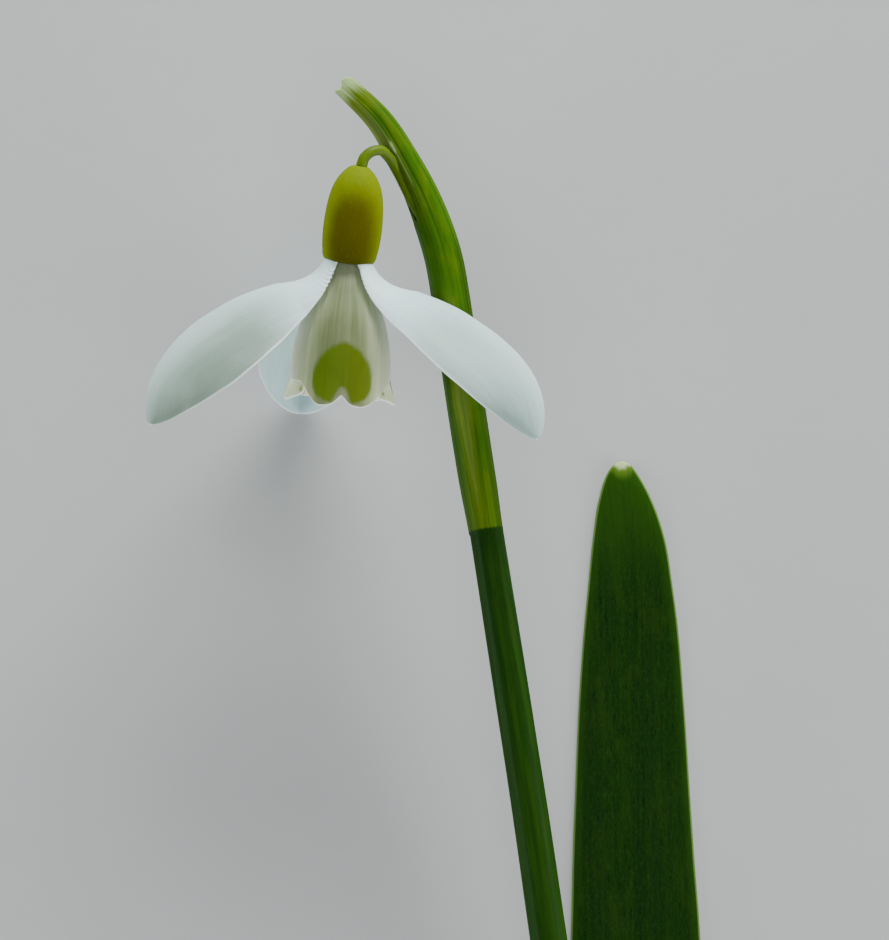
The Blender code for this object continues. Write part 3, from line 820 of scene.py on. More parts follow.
def leaf_finish(settings):
    """Dark green blade with fine parallel veins, paler thin margins and a white hooded tip."""
    finish = Finish("leaf_green")
    veins = finish.noise(2.4, 70.0, detail=4.0)
    fine = finish.noise(2.8, 5.0, detail=5.0, roughness=0.7)
    grain = finish.noise(4.5, 2.0, detail=3.0)
    patches = finish.noise(0.45, 3.0, detail=4.0)
    finish.colour = finish.mix(veins.smooth(0.30, 0.80) * 0.35, settings.leaf, settings.leaf_light)
    finish.paint(patches.smooth(0.46, 0.68) * 0.5, LEAF_PATCH)
    finish.paint(fine.smooth(0.48, 0.34) * 0.6, toned(settings.leaf, 0.25))
    finish.paint(fine.smooth(0.54, 0.70) * 0.5, LEAF_SPECK)
    finish.paint(grain.smooth(0.50, 0.64) * 0.25, LEAF_GRAIN)
    near_tip = (finish.along + 4.0 * (fine - 0.5)).smooth(16.0, 1.0)
    finish.paint(near_tip * 0.42, LEAF_NEAR_TIP)
    finish.paint(finish.rim.smooth(1.4, 0.2) * 0.45, LEAF_NEAR_MARGIN)
    finish.paint(finish.rim.smooth(0.24, 0.10) * 0.8, settings.leaf_margin)
    from_hood = finish.along + 1.2 * (fine - 0.5) + 0.5 * finish.across * finish.across
    finish.paint(from_hood.smooth(2.4, 0.8) * 0.7, LEAF_UNDER_HOOD)
    finish.paint(from_hood.smooth(1.15, 0.45), settings.leaf_tip)
    foot = finish.along.smooth(90.0, 106.0)
    finish.paint(foot * 0.9, LEAF_FOOT)
    finish.bump(veins, 0.07)
    finish.bump(fine, 0.015)
    return finish.surface(0.38 + 0.2 * fine, thin_tissue(0.06, 0.5, 0.05))


def sheath_finish(settings):
    """Papery cream tissue with green-brown veins and a browned mouth."""
    finish = Finish("sheath_papery")
    veins = finish.noise(1.7, 40.0, detail=4.0)
    fine = finish.noise(6.0, 10.0)
    finish.colour = finish.mix(veins.smooth(0.36, 0.62), settings.sheath_vein, settings.sheath)
    finish.paint(fine.smooth(0.40, 0.28) * 0.4, SHEATH_SPECK)
    finish.paint(finish.rim.smooth(1.6, 0.2) * 0.45, SHEATH_MOUTH)
    finish.bump(veins, 0.10)
    finish.bump(fine, 0.02)
    return finish.surface(0.45 + 0.2 * fine, thin_tissue(0.15, 0.8))


# ---------------------------------------------------------------- the flower


def outer_half_width(s, full, claw, widest, swell, fullness, pointed):
    """Half-width along an outer tepal: claw, a swell to the widest line, a rounded end and a small point.

    The swell is sin(s / widest) ^ swell. The end falls as sqrt(1 - past ^ fullness).
    """
    before = claw + (full - claw) * np.sin(np.clip(s / widest, 0.0, 1.0) * math.pi / 2) ** swell
    round_end = 1.0 - pointed / 30.0
    past = np.clip((s - widest) / (round_end - widest), 0.0, 1.0)
    after = full * np.sqrt(np.clip(1.0 - past ** fullness, 0.0, 1.0))
    point = pointed * np.sqrt(np.clip((1.0 - s) / 0.03, 0.0, 1.0))
    return np.where(s < widest, before, np.sqrt(after ** 2 + point ** 2 + 0.05 ** 2))


def outer_tepal(settings, azimuth, turn, rib_angles, roll, crinkled, long, wide, claw, widest, swell,
                fullness, ring, drop, seed):
    """A spoon: arcs of the tepal's width, hung on a midrib that leaves the axis and curls back down.

    The midrib integrates cos(lean) down + sin(lean) outwards. An arc's radius is its half-width over its
    half-angle. The margins wander a little along the normal, and the claw's front edge is crinkled.
    """
    rows, columns = 200, 86
    length = long * settings.outer_length / MM
    s = -EMBEDDED + (1.0 + EMBEDDED) * bunched(rows)
    t = edged(columns)
    lean = np.radians(through(np.column_stack((OUTER_RIB_PLACES, rib_angles)), s))
    around = np.radians(azimuth + turn * np.clip(s, 0.0, 1.0))
    tilt = np.radians(roll * np.clip(s / OUTER_ROLL_FULL, 0.0, 1.0))
    cup = np.radians(through(OUTER_CUP, s))
    outwards = np.stack((np.sin(around), -np.cos(around), 0 * s), axis=1)
    sideways = np.stack((np.cos(around), np.sin(around), 0 * s), axis=1)
    down = np.array((0.0, 0.0, -1.0))
    along = np.cos(lean)[:, None] * down + np.sin(lean)[:, None] * outwards
    back = np.cos(lean)[:, None] * outwards - np.sin(lean)[:, None] * down
    steps = (along[1:] + along[:-1]) / 2 * (np.diff(s) * length)[:, None]
    rib = np.concatenate((np.zeros((1, 3)), np.cumsum(steps, axis=0)))
    rib -= [np.interp(0.0, s, rib[:, k]) for k in range(3)]
    rib += ring * outwards[0] + drop * down
    across = np.cos(tilt)[:, None] * sideways - np.sin(tilt)[:, None] * back
    normal = np.cos(tilt)[:, None] * back + np.sin(tilt)[:, None] * sideways
    width = outer_half_width(s, wide * settings.outer_half_width / MM, claw, widest, swell, fullness,
                             0.30 if crinkled else 0.02)
    radius = (width / cup)[:, None, None]
    angle = (cup[:, None] * t)[..., None]
    middle = rib[:, None] + radius * (np.sin(angle) * across[:, None] - (1 - np.cos(angle)) * normal[:, None])
    body = rise(0.1, 0.4, s) * rise(1.0, 0.9, s)
    down_edge = 9.0 * s[:, None]
    margin = np.abs(t) ** 3 * np.where(t > 0, wander(down_edge, seed), wander(down_edge, seed + 1))
    hollow = 0.06 * body[:, None] * wander(4.0 * t + 3.0 * s[:, None], seed + 2)
    middle = middle + (0.09 * body[:, None] * margin + hollow)[..., None] * normal[:, None]
    thick = settings.outer_wall / MM * (1.0 + 0.9 * np.exp(-np.clip(s, 0, 1) / 0.07))
    edge = (1.0 - t ** 2) ** 0.36 * (rounded_ends((s + EMBEDDED) / (1.0 + EMBEDDED), 0.01, 0.03))[:, None]
    wall = thick[:, None] * edge
    veins = 0.010 * np.cos(8.5 * math.pi * t) * (1 - t ** 2) * body[:, None]
    pleats = np.sin(math.pi * (length * s[:, None] + 0.5 * np.abs(t)) / PLEAT_PITCH) ** 2
    place = rise(0.62, 0.95, np.sign(crinkled) * t) * (rise(0.012, 0.03, s) * rise(0.115, 0.085, s))[:, None]
    middle = middle + (PLEAT_DEPTH * abs(crinkled) * place * pleats)[..., None] * normal[:, None]
    rim = np.minimum((1.0 - np.abs(t)) * width[:, None], (1.0 - s[:, None]) * length)
    grown = fields(t * width[:, None] + 40.0 * seed, 0.0, s[:, None] * length)
    # how much painted shade each tepal carries: most on the left, less on the right, least on the back; on
    # the side tepals more towards the crinkled front edge
    painted_shade_amount = (0.15 + 0.85 * abs(crinkled) ** 0.5) * (0.45 + 0.55 * rise(-0.8, 0.4, np.sign(crinkled) * t))
    patches = shell(middle, wall, back[:, None], grown, rim, painted_shade_amount[None, :] + 0.0 * s[:, None], veins)
    return in_part(patches)


def mark_field(degrees, depth, half_angle):
    """Millimetres inside the edge of the green mark: an arch over two legs, with a hollow above the notch.

    The arch is |a/A|^p + |d/D|^p < 1 about a middle at 11.3 mm, flatter above than below. The hollow is
    where the angle is less than a power of the depth past its top.
    """
    middle = 11.3
    above = depth < middle
    reach = np.where(above, 3.4, 2.9)
    power = np.where(above, 1.7, 3.0)
    outer = 1.0 - (np.abs(degrees) / half_angle) ** power - (np.abs(depth - middle) / reach) ** power
    past = (depth - 12.42) / 1.7
    hollow = np.abs(degrees) * 0.092 - 0.94 * np.sign(past) * np.abs(past) ** 0.62
    return np.minimum(outer * 1.6, hollow)


def inner_tepal(settings, azimuth, half_span, notch_at, stand_off, flare, left_corner, right_corner, mark,
                seed):
    """A patch of a bell: the radius follows the profile, the end has a notch, two lobes and cut corners.

    The end is 1 - notch exp(-(|a| / 8)^1.4) - corners. Ribs run along the outside as cosines of the angle.
    """
    rows, columns = 140, 126
    height = settings.bell_height / MM
    t = edged(columns)
    degrees = half_span * t
    beside = degrees - notch_at
    end = 1.0 - NOTCH_DEPTH * np.exp(-(np.abs(beside) / NOTCH_ANGLE) ** 1.4)
    lost = left_corner[0] * rise(*left_corner[1:], -beside)
    end -= lost + right_corner[0] * rise(*right_corner[1:], beside)
    end -= 0.03 * rise(0.85, 1.0, np.abs(t))
    shares = bunched(rows)[:, None]
    s = -EMBEDDED + (end + EMBEDDED) * shares
    off = np.where(t < 0, stand_off[1] + (stand_off[0] - stand_off[1]) * rise(0.0, 0.8, -t),
                   stand_off[1] + (stand_off[2] - stand_off[1]) * rise(0.0, 0.8, t))
    radius = through(BELL_PROFILE, s) + off * rise(-0.1, 0.35, s)
    radius = radius + flare * rise(0.80, 1.05, s) + 0.05 * wander(7.0 * t + 2.0 * s, seed)
    lobes = 0.10 * np.cos(np.radians(beside) * 5.0) * rise(0.7, 1.0, s)
    radius = radius - lobes
    angle = np.radians(azimuth + degrees)[None, :]
    outwards = fields(np.sin(angle), -np.cos(angle), 0.0 * angle)
    middle = radius[..., None] * outwards
    middle[..., 2] = -height * s
    tip = rounded_ends(shares[:, 0], 0.01, 0.012)[:, None]
    wall = settings.inner_wall / MM * (1.0 - t ** 2) ** 0.3 * tip
    arc = radius * np.radians(degrees)
    ribs = 0.016 * np.cos(2 * math.pi * degrees / 7.0) * rise(0.1, 0.3, s) * (1 - t ** 2)
    rim = np.minimum((1.0 - np.abs(t)) * half_span * 0.09, (end - s) * height)
    field = mark_field(beside, height * s, mark)
    rolled_at = 58.0 if azimuth > 0.0 else -72.0
    rolled = 0.25 - 0.5 * np.hypot((beside + rolled_at) / 5.0, (height * s - 13.2) / 0.5)
    field = np.maximum(field, rolled if abs(azimuth) > 60.0 else -1.0)
    grown = fields(arc + 40.0 * seed, (azimuth + degrees) / 20.0, height * s)
    patches = shell(middle, wall, outwards, grown, rim, field, ribs)
    return in_part(patches)


def turned(profile, angle, lobes):
    """A profile of (height, radius) turned about Z, its radius swelling by a share at three lobes."""
    height, radius = np.transpose(profile)
    radius = radius[:, None] * (1.0 + lobes * np.cos(3 * angle)[None, :])
    points = fields(radius * np.cos(angle), radius * np.sin(angle), height[:, None])
    return points, radius


def ovary_patch():
    """The capsule: its profile turned about an axis that leans aside, three-lobed, closed at both ends."""
    rows, columns = 140, 121
    shares = bunched(rows)
    low, high = OVARY_PROFILE[0][0], OVARY_PROFILE[-1][0]
    height = low + (high - low) * shares
    radius = through(OVARY_PROFILE, height) * rounded_ends(shares, 0.012, 0.02)
    angle = full_turn(columns)
    points, full = turned(np.column_stack((height, radius)), angle, 0.014)
    grown = points.copy()
    # the field places the olive tint and painted shade: low on the front
    front = -np.sin(angle)[None, :] - 0.35 * np.clip(-np.cos(angle) - 0.5, 0.0, 1.0)[None, :]
    belly = np.interp(height, (4.6, 9.8), (1.0, 0.0))[:, None]
    field = belly * np.interp(front, (0.22, 0.95), (0.0, 1.0))
    lean = math.radians(OVARY_LEAN)
    x = points[..., 0] * math.cos(lean) + points[..., 2] * math.sin(lean)
    z = -points[..., 0] * math.sin(lean) + points[..., 2] * math.cos(lean)
    points = to_part(fields(x, points[..., 1], z))
    return [Patch(points, grown, fields(full, 1.0, field))]


def hung(points, ring, lean, azimuth):
    """Points of a hanging piece, leaned away from the flower's axis and stood on a ring round it."""
    lean, azimuth = math.radians(lean), math.radians(azimuth)
    y = points[..., 1] * math.cos(lean) + points[..., 2] * math.sin(lean) - ring
    z = -points[..., 1] * math.sin(lean) + points[..., 2] * math.cos(lean)
    x = points[..., 0] * math.cos(azimuth) - y * math.sin(azimuth)
    y = points[..., 0] * math.sin(azimuth) + y * math.cos(azimuth)
    return to_part(fields(x, y, z))


def stamen_patch(azimuth):
    """A thread with two joined sacs and a fine point: a turned profile, pinched into two lobes."""
    rows, columns = 110, 37
    shares = bunched(rows)
    stops = ((0.0, 0.17), (0.14, 0.14), (0.19, 0.16), (0.24, 0.30), (0.42, 0.33), (0.7, 0.22), (0.9, 0.09),
             (0.97, 0.035), (1.0, 0.02))
    radius = through(stops, shares) * rounded_ends(shares, 0.01, 0.01)
    sac = rise(0.17, 0.25, shares) * rise(0.97, 0.85, shares)
    angle = full_turn(columns)
    pinch = 1.0 - 0.22 * sac[:, None] * np.cos(angle) ** 8 - 0.30 * sac[:, None] * np.abs(np.sin(angle)) ** 6
    grooved = radius[:, None] * pinch
    points = fields(grooved * np.sin(angle), grooved * np.cos(angle), -STAMEN_LENGTH * shares[:, None])
    grown = fields(points[..., 0] + 3.0 * azimuth, points[..., 1], STAMEN_LENGTH * shares[:, None])
    marks = fields(radius[:, None], 1.0, sac[:, None] + 0 * angle)
    return [Patch(hung(points, STAMEN_RING, STAMEN_SPREAD, azimuth), grown, marks)]


def style_patch():
    """A slender club: thin at the ovary, a little thicker near its end, and a fine point."""
    rows, columns = 90, 33
    shares = bunched(rows)
    stops = ((0.0, 0.20), (0.5, 0.21), (0.82, 0.26), (0.93, 0.21), (1.0, 0.10))
    radius = through(stops, shares) * rounded_ends(shares, 0.01, 0.02)
    angle = full_turn(columns)
    wide = radius[:, None]
    points = fields(wide * np.sin(angle), wide * np.cos(angle), -STYLE_LENGTH * shares[:, None])
    grown = fields(points[..., 0], points[..., 1], STYLE_LENGTH * shares[:, None])
    return [Patch(hung(points, 0.0, 0.0, 0.0), grown, fields(radius[:, None], 1.0, 0.0 * angle))]


# ---------------------------------------------------------------- the stem and the leaf


def pedicel_patch(settings):
    """The flower's stalk: a round tube along its arch, widest where it joins the ovary."""
    shares = bunched(240)
    radius = settings.pedicel_radius / MM * through(PEDICEL_SWELL, shares)
    angle = full_turn(41)
    ends = rounded_ends(shares, 0.002, 0.01)
    uneven = 0.012 * wander(30.0 * shares[:, None] + np.cos(angle), 5)
    ridges = 1.0 + 0.02 * np.cos(2 * angle)[None, :] + uneven
    return tube(PEDICEL_ROUTE, shares, (radius * ends)[:, None] * ridges, angle)


def scape_patch(settings):
    """The flower stem: a tube with two faint keels and fine ribs, cut square at the foot."""
    shares = bunched(300)
    foot, top = settings.scape_radius / MM, settings.scape_top_radius / MM
    radius = through(((0.0, foot), (0.6, foot * 0.95), (1.0, top)), shares)
    angle = full_turn(97)
    ribs = 1.0 + 0.018 * np.cos(2 * angle - 0.5) + 0.007 * np.cos(9 * angle)
    ribs = ribs + 0.004 * np.cos(17 * angle + 1.0)
    uneven = 0.006 * wander(14.0 * shares[:, None] + np.sin(angle), 11)
    ends = rounded_ends(shares, 0.0015, 0.0015)
    return tube(SCAPE_ROUTE, shares, (radius * ends)[:, None] * (ribs + uneven), angle)


def spathe_patches(settings):
    """The folded bract: a tube split down one side from a crotch to its lobed tip.

    The middle surface is path + cos(angle) half-side + sin(angle) half-depth, the angle running from one lip
    of the slit round to the other. Below the crotch the lips are one line. Keels and creases are bumps of the
    angle, and the tip's two lobes come from an end that depends on the angle.
    """
    below, above, columns = 90, 150, 180
    crotch = SPATHE_CROTCH
    share = np.concatenate((crotch * bunched(below), (crotch + (1 - crotch) * bunched(above))[1:]))
    t = edged(columns)
    end = 1.0 - 0.010 * rise(0.78, 1.0, -t) - 0.018 * rise(-0.76, -0.2, t) + 0.012 * rise(0.3, 0.6, t)
    end -= 0.005 * rise(0.7, 1.0, t)
    s = share[:, None] * (1.0 + (end - 1.0) * rise(0.75, 1.0, share)[:, None])
    opening = np.clip((share - crotch) / 0.075, 0.0, 1.0)
    opening = opening * (2 - opening)
    near, far = SPATHE_LIPS
    centre = (near + far) / 2
    below_stalk = rise(0.86, 0.79, share)
    near_lip = centre + (near - centre) * opening * (1.0 - 0.38 * below_stalk)
    far_lip = centre + (far - centre) * opening * (1.0 - 0.30 * below_stalk)
    tucked = rise(0.785, 0.845, share)
    far_lip = far_lip + (SPATHE_TUCKED - far_lip) * tucked
    degrees = near_lip[:, None] - (360.0 - (far_lip - near_lip)[:, None]) * (t + 1) / 2
    path, side, up, length = path_frames(SPATHE_ROUTE, s.ravel())
    shape = s.shape + (3,)
    path, side, up = path.reshape(shape), side.reshape(shape), up.reshape(shape)

    def hump(direction, width):
        away = (degrees - direction + 180.0) % 360.0 - 180.0
        return np.exp(-(away / width) ** 2)

    open_part = rise(0.5, 0.62, share)[:, None]
    swell = 1.0 + 0.05 * hump(8.0, 10.0) + 0.05 * hump(184.0, 9.0) * (1.0 - tucked)[:, None]
    swell = swell - 0.05 * open_part * hump(86.0, 5.0)
    swell = swell - 0.11 * tucked[:, None] * hump(SPATHE_TUCKED, 11.0) * (t > 0)
    swell = swell + 0.02 * tucked[:, None] * hump(near, 10.0) * (t < 0)
    swell = swell - 0.05 * (below_stalk * opening)[:, None] * hump(128.0, 12.0) * (t < 0)
    swell = swell - 0.025 * rise(0.35, 0.6, share)[:, None] * hump(34.0, 4.0)
    swell = swell + 0.004 * np.cos(np.radians(degrees) * 26)
    angle = np.radians(degrees)
    middle = path + (np.cos(angle) * through(SPATHE_SIDE, s) * swell)[..., None] * side
    middle = middle + (np.sin(angle) * through(SPATHE_DEPTH, s) * swell)[..., None] * up
    closed = share <= crotch
    middle[closed, -1] = middle[closed, 0]
    lip_share = np.clip((share - crotch + 0.02) / 0.02, 0.0, 1.0)
    lip = 1.0 - np.sqrt(1.0 - lip_share ** 2)
    edge = (1.0 - t ** 2) ** 0.34
    wall = settings.spathe_wall / MM * (1.0 - lip[:, None] * (1.0 - edge))
    wall = wall * (rounded_ends(share, 0.006, 0.006) * (0.35 + 0.65 * rise(0.0, 0.12, share)))[:, None]
    lips = (1.0 - np.abs(t)) * 5.0 + 9.0 * (1.0 - rise(crotch - 0.01, crotch + 0.01, share))[:, None]
    rim = np.minimum(lips, (1.0 - share[:, None]) * length)
    grown = fields(1.8 * np.cos(angle), 1.8 * np.sin(angle), s * length)
    facing = np.cos(angle)[..., None] * side + np.sin(angle)[..., None] * up
    joined = np.flatnonzero(share < crotch)
    return shell(middle, wall, facing, grown, rim, s, 0.0, joined)


def leaf_patches(settings):
    """A strap on the floor: flat below, a shallow channel above between thin edges, its foot folded up.

    The wall over a point t of the width is edge(t) (1 - channel exp(-(t / 0.34)^2)), with parallel ribs.
    """
    rows, columns = 300, 82
    low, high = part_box("leaf")
    tip_y = high[1] / MM
    length = (high[1] - low[1]) / MM
    x = np.linspace(0.0, 1.0, rows)
    share = np.where(x < 0.1, 0.5 * x ** 2 / 0.1, x - 0.05) / 0.95
    places = share * length
    stops = np.asarray(LEAF_STOPS)
    shift = (low[0] + high[0]) / 2 / MM - LEAF_MIDDLE_X
    middle = through(stops[:, (0, 1)], places) + shift
    later = rise(3.0, 7.0, places)
    half_width = (1.0 - later) * LEAF_TIP_WIDTH * np.sqrt(places) + later * through(stops[:, (0, 2)], places)
    half_width = np.maximum(half_width, 0.05)
    t = edged(columns)
    fold = rise(LEAF_FOLDING[0], LEAF_FOLDING[1], places)[:, None]
    edge = (1.0 - t ** 2) ** 0.42 * rounded_ends(share, 0.03, 0.002)[:, None]
    channel = 0.42 * np.exp(-(t / 0.34) ** 2) * rise(2.0, 12.0, places)[:, None] * (1.0 - fold)
    keel = 0.10 * np.exp(-(t / 0.05) ** 2) * rise(4.0, 15.0, places)[:, None]
    margin = 0.10 * np.exp(-((np.abs(t) - 0.93) / 0.05) ** 2)
    ribs = 0.018 * np.cos(t * half_width[:, None] * 2 * math.pi / 0.75)
    uneven = 0.06 * wander(16.0 * share[:, None] + 2.0 * t, 21)
    top = settings.leaf_wall / MM * edge * (1.0 - channel - keel + margin + ribs + uneven)
    floor = 0.10 * (1.0 - edge)
    under = fold * (LEAF_BASE_LIFT + LEAF_BASE_FOLD * t ** 2) + floor
    wave = 0.10 * wander(11.0 * share[:, None], 8) * np.sign(t) * np.abs(t) ** 6
    wave = wave * rise(1.0, 0.7, share)[:, None]
    across = middle[:, None] + half_width[:, None] * t + wave
    y = np.broadcast_to(tip_y - places[:, None], across.shape)
    rim = np.minimum((1.0 - np.abs(t)) * half_width[:, None], places[:, None])
    grown = fields(half_width[:, None] * t, 0.0, places[:, None])
    side = np.minimum(edge * 2.0, 1.0)
    above = Patch(fields(across, y, under + top), grown, fields(rim, side, 0.0))
    below = Patch(fields(across, y, under), grown, fields(rim, -side, 0.0), True)
    return [above, below]


def sheath_patches(settings):
    """The basal sheath: an oval tube along its route, fluted, its mouth slanted and slightly ragged."""
    rows, columns = 120, 121
    share = bunched(rows)
    path, side, up, length = path_frames(SHEATH_ROUTE, share)
    angle = full_turn(columns)
    flutes = 1.0 + 0.012 * np.cos(11 * angle) + 0.008 * wander(3.0 * np.cos(angle) + 5.0 * share[:, None], 3)
    across = np.cos(angle)[None, :, None] * side[:, None]
    upward = np.sin(angle)[None, :, None] * up[:, None]
    middle = path[:, None] + (through(SHEATH_SIDE, share)[:, None] * flutes)[..., None] * across
    middle = middle + (through(SHEATH_DEPTH, share)[:, None] * flutes)[..., None] * upward
    ragged = 0.22 * np.cos(3 * angle + 1.0) + 0.12 * np.cos(8 * angle) + 0.06 * np.cos(19 * angle)
    middle[..., 1] += share[:, None] ** 3 * (SHEATH_MOUTH_SLANT * np.sin(angle) + ragged)
    wall = settings.sheath_wall / MM * rounded_ends(share, 0.008, 0.03)[:, None] * np.ones(columns)
    rim = (1.0 - share[:, None]) * length * np.ones(columns)
    grown = fields(3.4 * np.cos(angle), 3.0 * np.sin(angle), share[:, None] * length)
    facing = across + upward
    return shell(middle, wall, facing, grown, rim, 0.0, 0.0, np.arange(rows))


# ---------------------------------------------------------------- the stage


def area_light(name, place, target, size, power, colour):
    """A square soft light that stands at a place and faces a target, in metres."""
    data = bpy.data.lights.new(name, "AREA")
    data.shape = "RECTANGLE"
    data.size, data.size_y = size
    data.energy = power
    data.color = colour
    made = bpy.data.objects.new(name, data)
    bpy.context.scene.collection.objects.link(made)
    place = np.asarray(place, dtype=float)
    away = place - np.asarray(target)
    away /= np.linalg.norm(away)
    right = np.cross((0.0, 0.0, 1.0), away)
    right /= np.linalg.norm(right)
    above = np.cross(away, right)
    turn = np.eye(4)
    turn[:3, 0], turn[:3, 1], turn[:3, 2], turn[:3, 3] = right, above, away, place
    made.matrix_world = turn.T.tolist()


def floor_finish(settings):
    """Plain pale floor with a barely seen mottle."""
    finish = Finish("floor_pale")
    place = finish.node("ShaderNodeTexCoord", {}, {}, "Object")
    mottle = finish.node("ShaderNodeTexNoise", {}, {"Vector": place, "Scale": 260.0, "Detail": 4.0})
    finish.colour = finish.mix(mottle, toned(settings.floor, 0.97), settings.floor)
    finish.bump(mottle, 0.02)
    return finish.surface(0.62 + 0.1 * mottle, {"Specular IOR Level": 0.2})


# ---------------------------------------------------------------- operators


class SNOWDROP_OT_outer_tepals(bpy.types.Operator):
    """Build the three outer tepals"""
    bl_idname = "snowdrop.outer_tepals"
    bl_label = "Outer tepals"

    def execute(self, context):
        settings = context.scene.snowdrop_flower
        finish = outer_finish(settings)
        for seed, (name, shape) in enumerate(OUTER_TEPALS.items(), 1):
            build_piece(name, outer_tepal(settings, *shape, seed), finish)
        return {"FINISHED"}


class SNOWDROP_OT_inner_tepals(bpy.types.Operator):
    """Build the three inner tepals with their green marks"""
    bl_idname = "snowdrop.inner_tepals"
    bl_label = "Inner tepals"

    def execute(self, context):
        settings = context.scene.snowdrop_flower
        finish = inner_finish(settings)
        for seed, (name, shape) in enumerate(INNER_TEPALS.items(), 1):
            build_piece(name, inner_tepal(settings, *shape, seed), finish)
        return {"FINISHED"}


class SNOWDROP_OT_stamens(bpy.types.Operator):
    """Build the six stamens"""
    bl_idname = "snowdrop.stamens"
    bl_label = "Stamens"

    def execute(self, context):
        finish = anther_finish(context.scene.snowdrop_flower)
        for k in range(STAMEN_COUNT):
            azimuth = STAMEN_FIRST + 360.0 * k / STAMEN_COUNT
            build_piece(f"stamen_{k + 1}", stamen_patch(azimuth), finish)
        return {"FINISHED"}


class SNOWDROP_OT_style(bpy.types.Operator):
    """Build the style"""
    bl_idname = "snowdrop.style"
    bl_label = "Style"

    def execute(self, context):
        build_piece("style", style_patch(), style_finish(context.scene.snowdrop_flower))
        return {"FINISHED"}


class SNOWDROP_OT_ovary(bpy.types.Operator):
    """Build the ovary"""
    bl_idname = "snowdrop.ovary"
    bl_label = "Ovary"

    def execute(self, context):
        build_piece("ovary", ovary_patch(), ovary_finish(context.scene.snowdrop_flower))
        return {"FINISHED"}


class StemPiece:
    """What the operators of the stem's pieces share: each builds one piece from patches and a finish."""

    def execute(self, context):
        settings = context.scene.snowdrop_stem
        build_piece(self.piece, self.patches(settings), self.finish(settings))
        return {"FINISHED"}


class SNOWDROP_OT_pedicel(StemPiece, bpy.types.Operator):
    """Build the flower's stalk"""
    bl_idname = "snowdrop.pedicel"
    bl_label = "Pedicel"
    piece = "pedicel"
    patches = staticmethod(pedicel_patch)
    finish = staticmethod(pedicel_finish)


class SNOWDROP_OT_spathe(StemPiece, bpy.types.Operator):
    """Build the folded bract"""
    bl_idname = "snowdrop.spathe"
    bl_label = "Spathe"
    piece = "spathe"
    patches = staticmethod(spathe_patches)
    finish = staticmethod(spathe_finish)


class SNOWDROP_OT_scape(StemPiece, bpy.types.Operator):
    """Build the flower stem"""
    bl_idname = "snowdrop.scape"
    bl_label = "Scape"
    piece = "scape"
    patches = staticmethod(scape_patch)
    finish = staticmethod(scape_finish)


class SNOWDROP_OT_leaf(StemPiece, bpy.types.Operator):
    """Build the leaf"""
    bl_idname = "snowdrop.leaf"
    bl_label = "Leaf"
    piece = "leaf"
    patches = staticmethod(leaf_patches)
    finish = staticmethod(leaf_finish)


class SNOWDROP_OT_sheath(StemPiece, bpy.types.Operator):
    """Build the basal sheath"""
    bl_idname = "snowdrop.sheath"
    bl_label = "Basal sheath"
    piece = "basal_sheath"
    patches = staticmethod(sheath_patches)
    finish = staticmethod(sheath_finish)


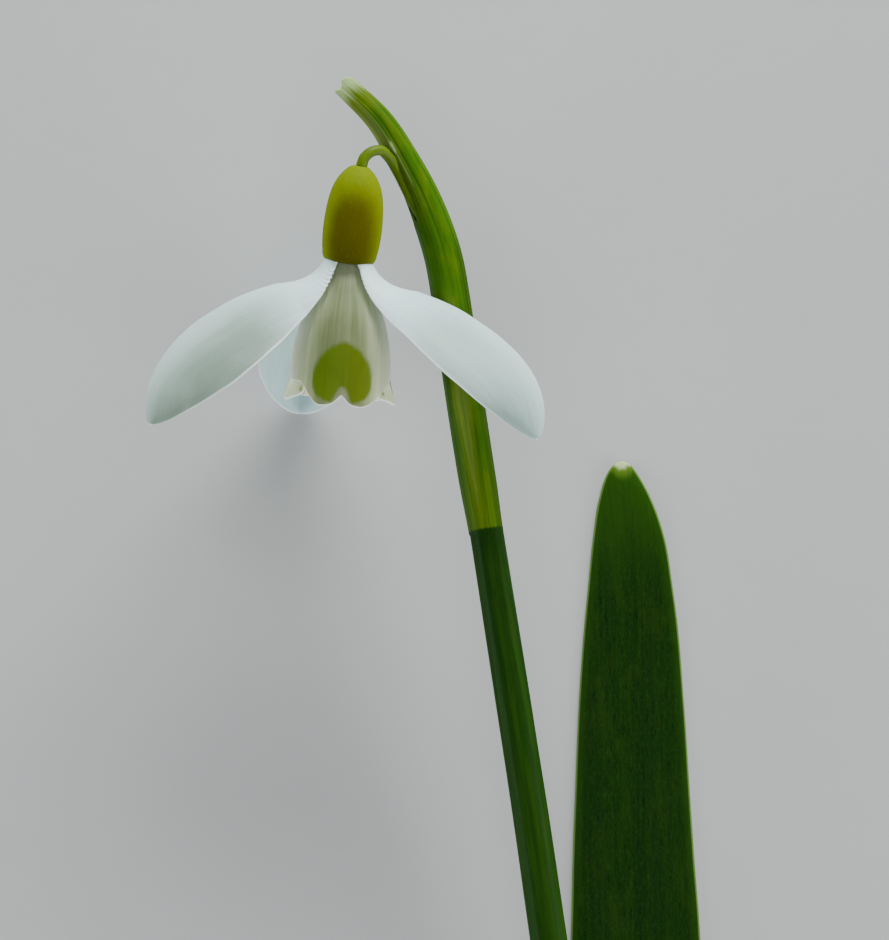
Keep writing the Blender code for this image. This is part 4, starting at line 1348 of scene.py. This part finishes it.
class SNOWDROP_OT_stage(bpy.types.Operator):
    """Build the floor, the lights and the camera"""
    bl_idname = "snowdrop.stage"
    bl_label = "Stage"

    def execute(self, context):
        settings = context.scene.snowdrop_stage
        scene = context.scene
        mesh = bpy.data.meshes.new("floor")
        around = ((-1, -1), (1, -1), (1, 1), (-1, 1))
        corners = [(x * FLOOR_HALF, y * FLOOR_HALF, FLOOR_LEVEL) for x, y in around]
        mesh.from_pydata(corners, [], [(0, 1, 2, 3)])
        mesh.materials.append(floor_finish(settings))
        floor = bpy.data.objects.new("floor", mesh)
        scene.collection.objects.link(floor)

        world = bpy.data.worlds.new("surround")
        world.use_nodes = True
        background = world.node_tree.nodes["Background"]
        background.inputs["Color"].default_value = SURROUND
        background.inputs["Strength"].default_value = settings.sky
        scene.world = world

        base = receptacle() * MM
        for name, place, size, colour in LIGHTS:
            power = getattr(settings, name + "_power")
            area_light(name, base + place, base + LIGHT_TARGET, size, power, colour)

        data = bpy.data.cameras.new("camera")
        data.lens = CAMERA_LENS
        data.sensor_width = CAMERA_SENSOR
        data.clip_start, data.clip_end = CAMERA_SEES
        camera = bpy.data.objects.new("camera", data)
        camera.location = base + (*CAMERA_ASIDE, settings.camera_height)
        scene.collection.objects.link(camera)
        scene.camera = camera
        return {"FINISHED"}


PIECES = (
    SNOWDROP_OT_outer_tepals, SNOWDROP_OT_inner_tepals, SNOWDROP_OT_stamens, SNOWDROP_OT_style,
    SNOWDROP_OT_ovary, SNOWDROP_OT_pedicel, SNOWDROP_OT_spathe, SNOWDROP_OT_scape, SNOWDROP_OT_leaf,
    SNOWDROP_OT_sheath, SNOWDROP_OT_stage,
)
SETTINGS = {
    "snowdrop_flower": SNOWDROP_PG_flower,
    "snowdrop_stem": SNOWDROP_PG_stem,
    "snowdrop_stage": SNOWDROP_PG_stage,
}


class SNOWDROP_PT_panel(bpy.types.Panel):
    """The snowdrop's pieces and settings"""
    bl_idname = "SNOWDROP_PT_panel"
    bl_label = "Snowdrop"
    bl_space_type = "VIEW_3D"
    bl_region_type = "UI"
    bl_category = "Snowdrop"

    def draw(self, context):
        for group in SETTINGS:
            box = self.layout.box()
            settings = getattr(context.scene, group)
            for name in settings.__annotations__:
                box.prop(settings, name)
        for piece in PIECES:
            self.layout.operator(piece.bl_idname)


def register():
    """Make the settings, the operators and the panel known to Blender."""
    for group, settings in SETTINGS.items():
        bpy.utils.register_class(settings)
        setattr(bpy.types.Scene, group, PointerProperty(type=settings))
    for piece in PIECES:
        bpy.utils.register_class(piece)
    bpy.utils.register_class(SNOWDROP_PT_panel)


def unregister():
    """Take them out again."""
    bpy.utils.unregister_class(SNOWDROP_PT_panel)
    for piece in reversed(PIECES):
        bpy.utils.unregister_class(piece)
    for group, settings in reversed(SETTINGS.items()):
        delattr(bpy.types.Scene, group)
        bpy.utils.unregister_class(settings)


def main():
    """Build every piece and the stage."""
    register()
    for piece in PIECES:
        group, name = piece.bl_idname.split(".")
        getattr(getattr(bpy.ops, group), name)()


if __name__ == "__main__":
    main()
